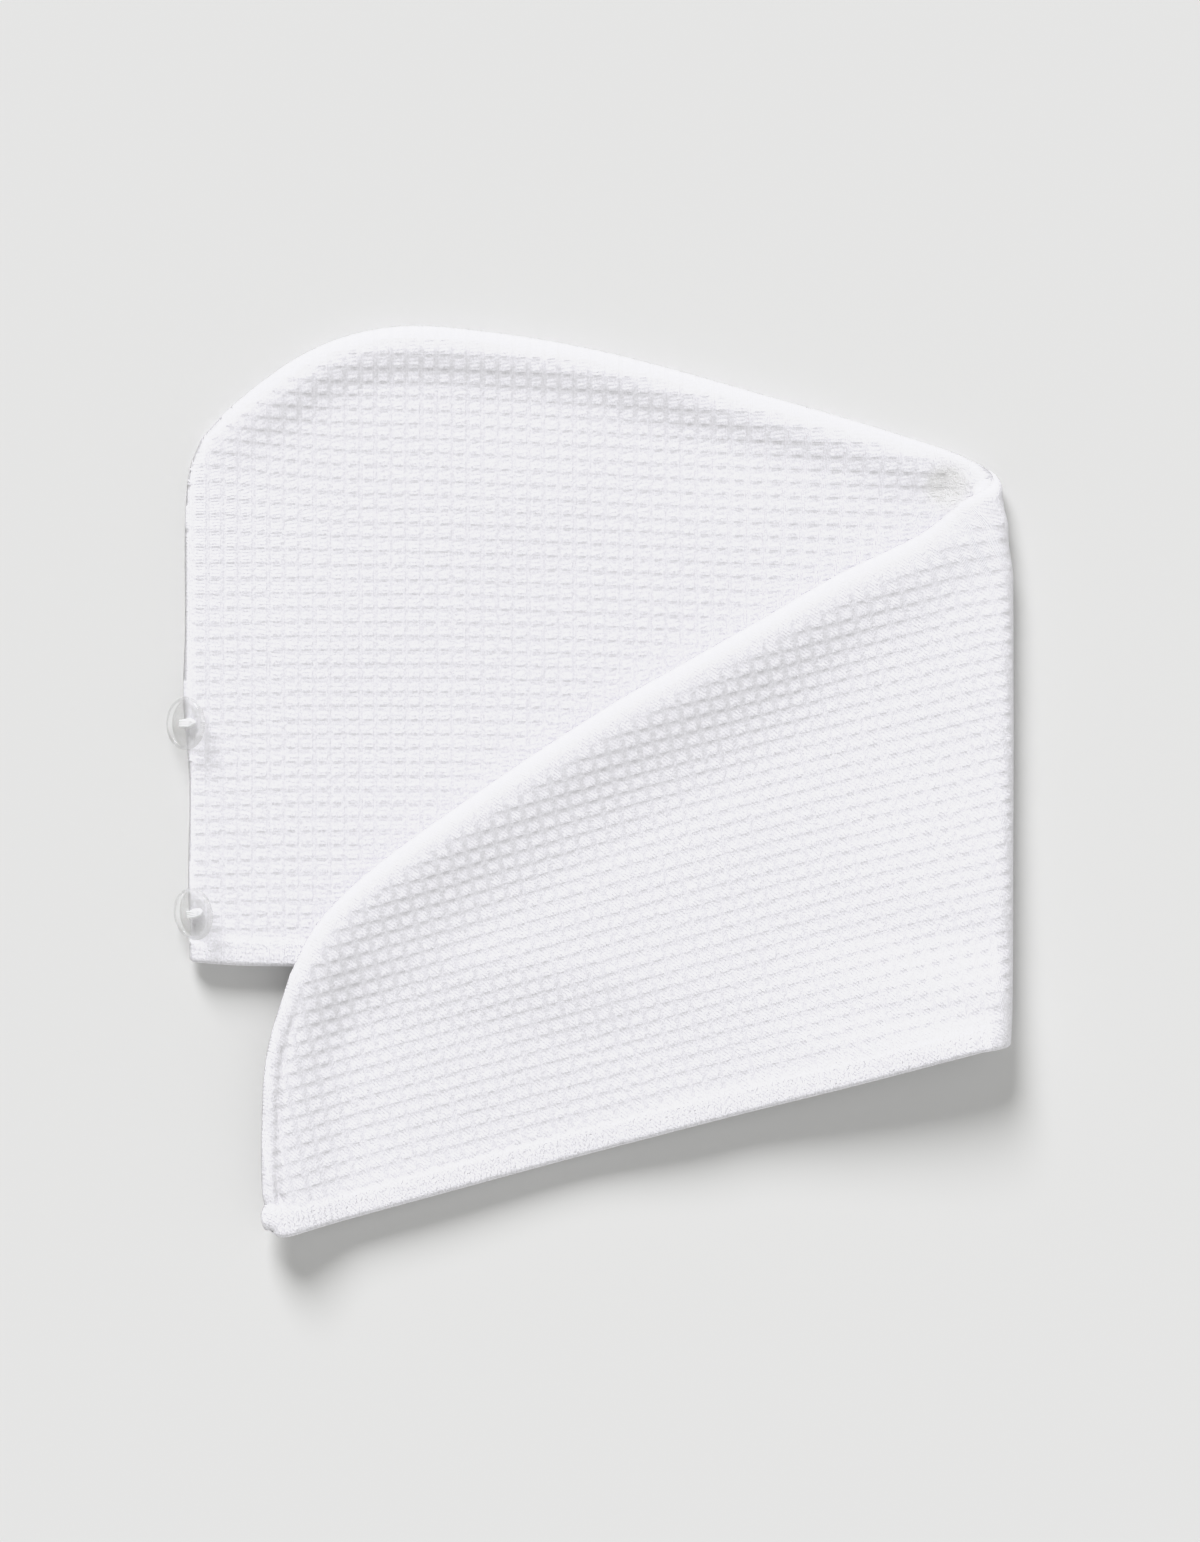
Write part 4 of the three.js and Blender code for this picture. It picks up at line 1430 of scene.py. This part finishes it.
    def build(self, shift: Array) -> bpy.types.Object:
        """Build the panel with its hem as one closed cloth.

        Args:
            shift: the way from the outline's own origin to the towel's, in millimetres.
        Returns:
            The cloth.
        """
        grid = WaffleGrid(self.weave, self.outline, self.seam, self.hem)
        outer = grid.outer(self.shows)
        inner = grid.inner(self.inner_step)
        skins = []
        for mesh, side, thickness in ((outer, 1, self.outside), (inner, -1, self.inside)):
            lie = Lie.of(mesh.places, self.seam, self.hem)
            skins.append((lie, self.lay(lie, side * self.panel.value * thickness(lie))))
        (outer_lie, outer_skin), (inner_lie, inner_skin) = skins
        count, rim = len(outer.places), len(self.outline)
        ahead = self.panel is Panel.UPPER
        faces = [face if ahead else face[::-1] for face in outer.faces]
        faces += [tuple(k + count for k in (face[::-1] if ahead else face)) for face in inner.faces]
        for k in range(rim):
            after = (k + 1) % rim
            wall = (k, k + count, after + count, after)
            faces.append(wall if ahead else wall[::-1])
        vertices = (np.vstack([outer_skin, inner_skin]) + shift) * MM
        cloth = from_places(self.name + "_cloth", vertices, faces)
        self.mark(cloth, outer_lie, inner_lie)
        self.raise_waffle(cloth)
        for polygon in cloth.data.polygons:
            polygon.use_smooth = True
        LOG.info("%s: %d faces", cloth.name, len(cloth.data.polygons))
        return cloth

    def mark(self, cloth: bpy.types.Object, outer: Lie, inner: Lie) -> None:
        """Store the weave's cells and the share of its depth on the cloth."""
        mesh = cloth.data
        cells = np.vstack([self.weave.cells(lie.s, lie.y) for lie in (outer, inner)])
        # The groove's share also darkens the finish there, as painted shade
        for name, measure in (("relief", self.relief), ("hem", self.band), ("groove", self.groove)):
            share = np.concatenate([measure(outer), np.zeros(len(inner.s))])
            layer = mesh.attributes.new(name, "FLOAT", "POINT")
            layer.data.foreach_set("value", share.astype(np.float32))
        cell = mesh.attributes.new("cell", "FLOAT_VECTOR", "POINT")
        columns = np.column_stack([cells, np.zeros(len(cells))]).astype(np.float32)
        cell.data.foreach_set("vector", columns.ravel())
        corners = np.zeros(len(mesh.loops), np.int32)
        mesh.loops.foreach_get("vertex_index", corners)
        layer = mesh.uv_layers.new(name="weave")
        layer.data.foreach_set("uv", cells[corners].astype(np.float32).ravel())

    def raise_waffle(self, cloth: bpy.types.Object) -> None:
        """Raise the pillows of the weave on the outer side."""
        shape = ShapeTree("waffle_relief", {
            "Pillow height": ("Float", self.pillow_height * MM),
            "Mean height": ("Float", self.pillow_mean),
            "Unevenness": ("Float", self.unevenness),
            "Seed": ("Int", self.seed),
            "Finish": ("Material", self.finish),
        })
        graph = shape.graph
        cell = graph.node("GeometryNodeInputNamedAttribute", {"data_type": "FLOAT_VECTOR"}, {0: "cell"})
        share = graph.signal(
            "GeometryNodeInputNamedAttribute", {"data_type": "FLOAT"}, {0: "relief"}, "Attribute"
        )
        column, row, _ = graph.split(cell.outputs["Attribute"])
        pillow, _ = graph.pillow(column, row)
        number = column.math("FLOOR") + row.math("FLOOR") * self.columns_counted
        luck = graph.node(
            "FunctionNodeRandomValue", {"data_type": "FLOAT"}, {"ID": number, "Seed": shape["Seed"]}
        )
        chance = Signal(graph, luck.outputs[1]) - 0.5
        height = shape["Pillow height"] * (1 + chance * shape["Unevenness"]) * share
        raised = (pillow - shape["Mean height"]) * height
        normal = graph.node("GeometryNodeInputNormal").outputs[0]
        way = graph.node("ShaderNodeVectorMath", {"operation": "SCALE"}, {0: normal, "Scale": raised})
        moved = graph.node(
            "GeometryNodeSetPosition",
            None,
            {"Geometry": shape.source.outputs["Geometry"], "Offset": way.outputs[0]},
        )
        shape.finish(moved.outputs[0])
        shape.apply(cloth)


@dataclass
class Button:
    """A clear two-hole button, sewn to the seam at the nape."""

    name: str
    place: tuple
    lean: float
    plastic: bpy.types.Material
    thread: bpy.types.Material
    radius: float = 10.85
    thickness: float = 3.0
    tilt: float = 44.0
    sides: int = 96
    hole_radius: float = 1.2
    hole_spacing: float = 5.4
    dish: float = 0.8
    sag: float = 0.12
    roundings: tuple = (1.2, 1.25)
    straight: float = 0.35
    rounded: float = 1.15
    slope_start: float = 1.5
    slope_run: float = 1.7
    section_steps: int = 7
    rim_from: float = 0.76
    rim_run: float = 0.14
    sharp_from: float = 50.0
    drill_sides: int = 24
    drill_length: float = 3.0
    strand: float = 0.42
    strands: int = 4
    strand_spacing: float = 1.7
    gathered: float = 0.75
    # From a hole to the middle: share of the reach, share of the strand's own place, height
    bar: tuple = ((0.97, 0.75, -0.35), (0.8, 1.0, 0.25), (0.0, 1.0, 0.4))
    shank: float = 1.1
    windings: int = 3
    winding_steps: int = 14
    winding_past: float = 0.5
    winding_start: float = 0.3
    winding_rise: float = 1.5

    def seat(self, shift: Array) -> Matrix:
        """The button's place and tilt, from millimetres to metres."""
        at = Vector([(a + b) * MM for a, b in zip(self.place, shift)])
        turn = Matrix.Rotation(math.radians(self.lean), 4, "Z")
        turn = turn @ Matrix.Rotation(-math.radians(self.tilt), 4, "Y")
        return Matrix.Translation(at) @ turn @ Matrix.Scale(MM, 4)

    def section(self) -> list[tuple[float, float]]:
        """The disc's section, from its axis under the rim and over it into the dish."""
        half = self.thickness / 2
        rim = self.radius
        low, high = self.roundings
        quarter = np.linspace(0, math.pi / 2, self.section_steps)
        edge = [
            (rim - low + low * math.sin(angle), -self.straight - self.rounded * math.cos(angle))
            for angle in quarter
        ]
        top = [
            (rim - high + high * math.cos(angle), self.straight + self.rounded * math.sin(angle))
            for angle in quarter
        ]
        slope = [
            (
                rim - self.slope_start - self.slope_run * share,
                half - self.dish * float(smooth(np.array(share))),
            )
            for share in np.linspace(0, 1, self.section_steps)
        ]
        return [(0, -half), *edge, *top, *slope, (0, half - self.dish - self.sag)]

    def disc(self, seat: Matrix) -> bpy.types.Object:
        """Turn the disc and drill its holes."""
        section = self.section()
        mesh = bmesh.new()
        rings = []
        for radius, height in section:
            if radius == 0:
                rings.append([mesh.verts.new((0, 0, height))])
                continue
            angles = [math.tau * k / self.sides for k in range(self.sides)]
            rings.append([
                mesh.verts.new((radius * math.cos(a), radius * math.sin(a), height)) for a in angles
            ])
        for low, high in zip(rings, rings[1:]):
            for k in range(self.sides):
                after = (k + 1) % self.sides
                corners = [low[k % len(low)], low[after % len(low)]]
                corners += [high[after % len(high)], high[k % len(high)]]
                mesh.faces.new(list(dict.fromkeys(corners)))
        bmesh.ops.recalc_face_normals(mesh, faces=mesh.faces)
        disc = from_bmesh(self.name + "_disc", mesh)
        drills = [self.drill(side * self.hole_spacing / 2) for side in (-1, 1)]
        for drill in drills:
            cut = disc.modifiers.new("hole", "BOOLEAN")
            cut.operation, cut.object, cut.solver = "DIFFERENCE", drill, "EXACT"
        bake_modifiers(disc)
        for drill in drills:
            bpy.data.objects.remove(drill)
        rim = disc.data.attributes.new("rim", "FLOAT", "POINT")
        spread = [Vector(vertex.co[:2]).length / self.radius for vertex in disc.data.vertices]
        share = smooth((np.array(spread) - self.rim_from) / self.rim_run)
        rim.data.foreach_set("value", share.astype(np.float32))
        disc.data.transform(seat)
        disc.data.materials.clear()
        disc.data.materials.append(self.plastic)
        disc.data.shade_smooth()
        disc.data.set_sharp_from_angle(angle=math.radians(self.sharp_from))
        return disc

    def drill(self, x: float) -> bpy.types.Object:
        """A rod to cut one hole with."""
        mesh = bmesh.new()
        bmesh.ops.create_cone(
            mesh, cap_ends=True, segments=self.drill_sides, radius1=self.hole_radius,
            radius2=self.hole_radius, depth=self.drill_length * self.thickness,
            matrix=Matrix.Translation((x, 0, 0)),
        )
        return from_bmesh("drill", mesh)

    def sewing(self, seat: Matrix) -> bpy.types.Object:
        """The strands over the dish and through the holes, and the wound shank behind the button."""
        mesh = bmesh.new()
        top = self.thickness / 2 - self.dish + self.strand
        low = -self.thickness / 2 - self.shank
        reach = self.hole_spacing / 2
        for number in range(self.strands):
            across = (number - (self.strands - 1) / 2) * self.strand * self.strand_spacing
            pull = across * self.gathered
            half = [(1.0, pull, low), (1.0, pull, 0)]
            half += [(share, across * own, top + rise) for share, own, rise in self.bar]
            route = [(-reach * share, y, z) for share, y, z in half]
            route += [(reach * share, y, z) for share, y, z in half[-2::-1]]
            self.tube(mesh, route, self.strand)
        turns = self.winding_steps
        winding = [
            (
                (reach + self.winding_past) * math.cos(math.tau * k / turns),
                (self.strand * self.strands) * math.sin(math.tau * k / turns),
                low + self.winding_start + k / turns * self.strand * self.winding_rise,
            )
            for k in range(turns * self.windings + 1)
        ]
        self.tube(mesh, winding, self.strand)
        thread = from_bmesh(self.name + "_sewing", mesh)
        thread.data.transform(seat)
        thread.data.materials.append(self.thread)
        thread.data.shade_smooth()
        return thread

    @staticmethod
    def tube(mesh: bmesh.types.BMesh, route: list, radius: float, sides: int = 8) -> None:
        """Add a closed round tube along a route."""
        points = [Vector(place) for place in route]
        rings = []
        side = Vector((0, 1, 0))
        for k, point in enumerate(points):
            ahead = (points[min(k + 1, len(points) - 1)] - points[max(k - 1, 0)]).normalized()
            side = (side - ahead * side.dot(ahead)).normalized()
            up = ahead.cross(side)
            angles = [math.tau * n / sides for n in range(sides)]
            rings.append([
                mesh.verts.new(point + radius * (math.cos(a) * side + math.sin(a) * up)) for a in angles
            ])
        for low, high in zip(rings, rings[1:]):
            for n in range(sides):
                after = (n + 1) % sides
                mesh.faces.new((low[n], low[after], high[after], high[n]))
        mesh.faces.new(rings[0][::-1])
        mesh.faces.new(rings[-1])


@dataclass
class Towel:
    """The whole towel, built from its two panels and its buttons."""

    drape: Drape = field(default_factory=Drape)
    flat: tuple = (0.262, 0.645)

    def build(self) -> None:
        """Build every piece and tie it to the frame."""
        cotton = WaffleCotton().material()
        thread = SewingCotton().material()
        plastic = ClearPlastic().material()
        buttons = [
            Button("button_upper", (-165.6, 23.4, 10.7), 0.0, plastic, thread),
            Button("button_lower", (-162.4, -54.7, 11.8), 8.5, plastic, thread),
        ]
        low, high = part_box("button_upper")
        centre = [(a + b) / 2 / MM for a, b in zip(low, high)]
        shift = np.array([centre[0] - buttons[0].place[0], centre[1] - buttons[0].place[1], 0.0])
        LOG.info("shift of the outline %s", shift)
        for panel in Panel:
            self.build_panel(panel, cotton, shift)
        for button in buttons:
            seat = button.seat(shift)
            self.tie(button.disc(seat), "clear_button", button.name)
            self.tie(button.sewing(seat), "cotton_thread", button.name.replace("button", "thread"))

    def build_panel(self, panel: Panel, cotton: bpy.types.Material, shift: Array) -> None:
        """Build one panel, tie its cloth to the towel and note its flat area."""
        maker = ClothPanel(self.drape, panel, cotton)
        cloth = maker.build(shift)
        self.tie(cloth, "waffle_cloth", maker.name + "_panel", maker.name + "_hem")
        loop = maker.outline
        after = np.roll(loop, -1, axis=0)
        area = abs((loop[:, 0] * after[:, 1] - after[:, 0] * loop[:, 1]).sum()) / 2 * MM * MM
        LOG.info("%s: flat area %.4f square metres", cloth.name, area)

    @staticmethod
    def tie(piece: bpy.types.Object, slot: str, *nodes: str) -> None:
        """Make a piece ride on the towel and stand for its nodes."""
        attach(piece, "root")
        if nodes:
            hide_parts(*nodes)
        LOG.info("%s rides on root", piece.name)


@dataclass
class Studio:
    """A plain pale floor, soft light from the upper left, and the camera straight above."""

    floor_size: float = 40.0
    sky: float = 0.522
    sky_lean: float = 1.0
    sky_from: tuple = (0.46, -0.89)
    sun: float = 3.64
    sun_angle: float = 26.0
    rays: tuple = (0.52, -1.6, -1.0)
    tones: tuple = (
        (0.0, 0.0), (0.4, 0.4), (0.74, 0.735), (0.79, 0.79), (0.83, 0.835), (0.88, 0.872),
        (0.95, 0.893), (1.05, 0.906), (1.5, 0.955),
    )
    blue_tones: tuple = (
        (0.0, 0.0), (0.79, 0.79), (0.835, 0.838), (0.872, 0.884), (0.91, 0.935), (0.98, 1.06),
        (1.06, 1.2), (1.2, 1.36), (1.5, 1.5),
    )
    distance: float = 3.0
    focus_height: float = 0.010
    sensor: float = 36.0

    def build(self) -> None:
        """Set up the floor, the lights and the camera."""
        half = self.floor_size / 2
        corners = np.array([(-half, -half, 0), (half, -half, 0), (half, half, 0), (-half, half, 0)])
        floor = from_places("floor", corners, [(0, 1, 2, 3)])
        floor.data.materials.append(FloorPaper().material())
        world = bpy.data.worlds.new("studio")
        world.use_nodes = True
        graph = Graph(world.node_tree)
        east, north, _ = graph.split(graph.node("ShaderNodeTexCoord").outputs["Generated"])
        way_east, way_north = (self.sky_lean * part for part in self.sky_from)
        strength = (1 + east * way_east + north * way_north) * self.sky
        background = world.node_tree.nodes["Background"]
        background.inputs["Color"].default_value = (1, 1, 1, 1)
        graph.feed(background.inputs["Strength"], strength)
        bpy.context.scene.world = world
        light = bpy.data.lights.new("window", "SUN")
        light.energy = self.sun
        light.angle = math.radians(self.sun_angle)
        lamp = bpy.data.objects.new("window", light)
        lamp.rotation_euler = Vector(self.rays).to_track_quat("-Z", "Y").to_euler()
        bpy.context.scene.collection.objects.link(lamp)
        self.develop()
        self.camera()

    def develop(self) -> None:
        """Give the picture a photograph's soft shoulder, so that white cloth keeps its detail."""
        view = bpy.context.scene.view_settings
        view.view_transform = "Standard"
        view.use_curve_mapping = True
        mapping = view.curve_mapping
        mapping.clip_max_x = mapping.clip_max_y = self.tones[-1][0]
        for channel, tones in ((2, self.blue_tones), (3, self.tones)):
            curve = mapping.curves[channel]
            curve.points[0].location = tones[0]
            curve.points[1].location = tones[-1]
            for place in tones[1:-1]:
                curve.points.new(*place)
        mapping.update()

    def camera(self) -> None:
        """Put the camera straight above the middle of the photograph's frame."""
        data = bpy.data.cameras.new("camera")
        data.sensor_width = self.sensor
        data.lens = self.sensor * self.distance / (FRAME_HEIGHT * MM)
        camera = bpy.data.objects.new("camera", data)
        camera.location = (FRAME_CENTRE[0] * MM, FRAME_CENTRE[1] * MM, self.distance + self.focus_height)
        bpy.context.scene.collection.objects.link(camera)
        bpy.context.scene.camera = camera


def main() -> None:
    """Build the studio and the towel, and note the sizes."""
    logging.basicConfig(level=logging.INFO, format="%(name)s: %(message)s")
    Studio().build()
    Towel().build()


if __name__ == "__main__":
    main()
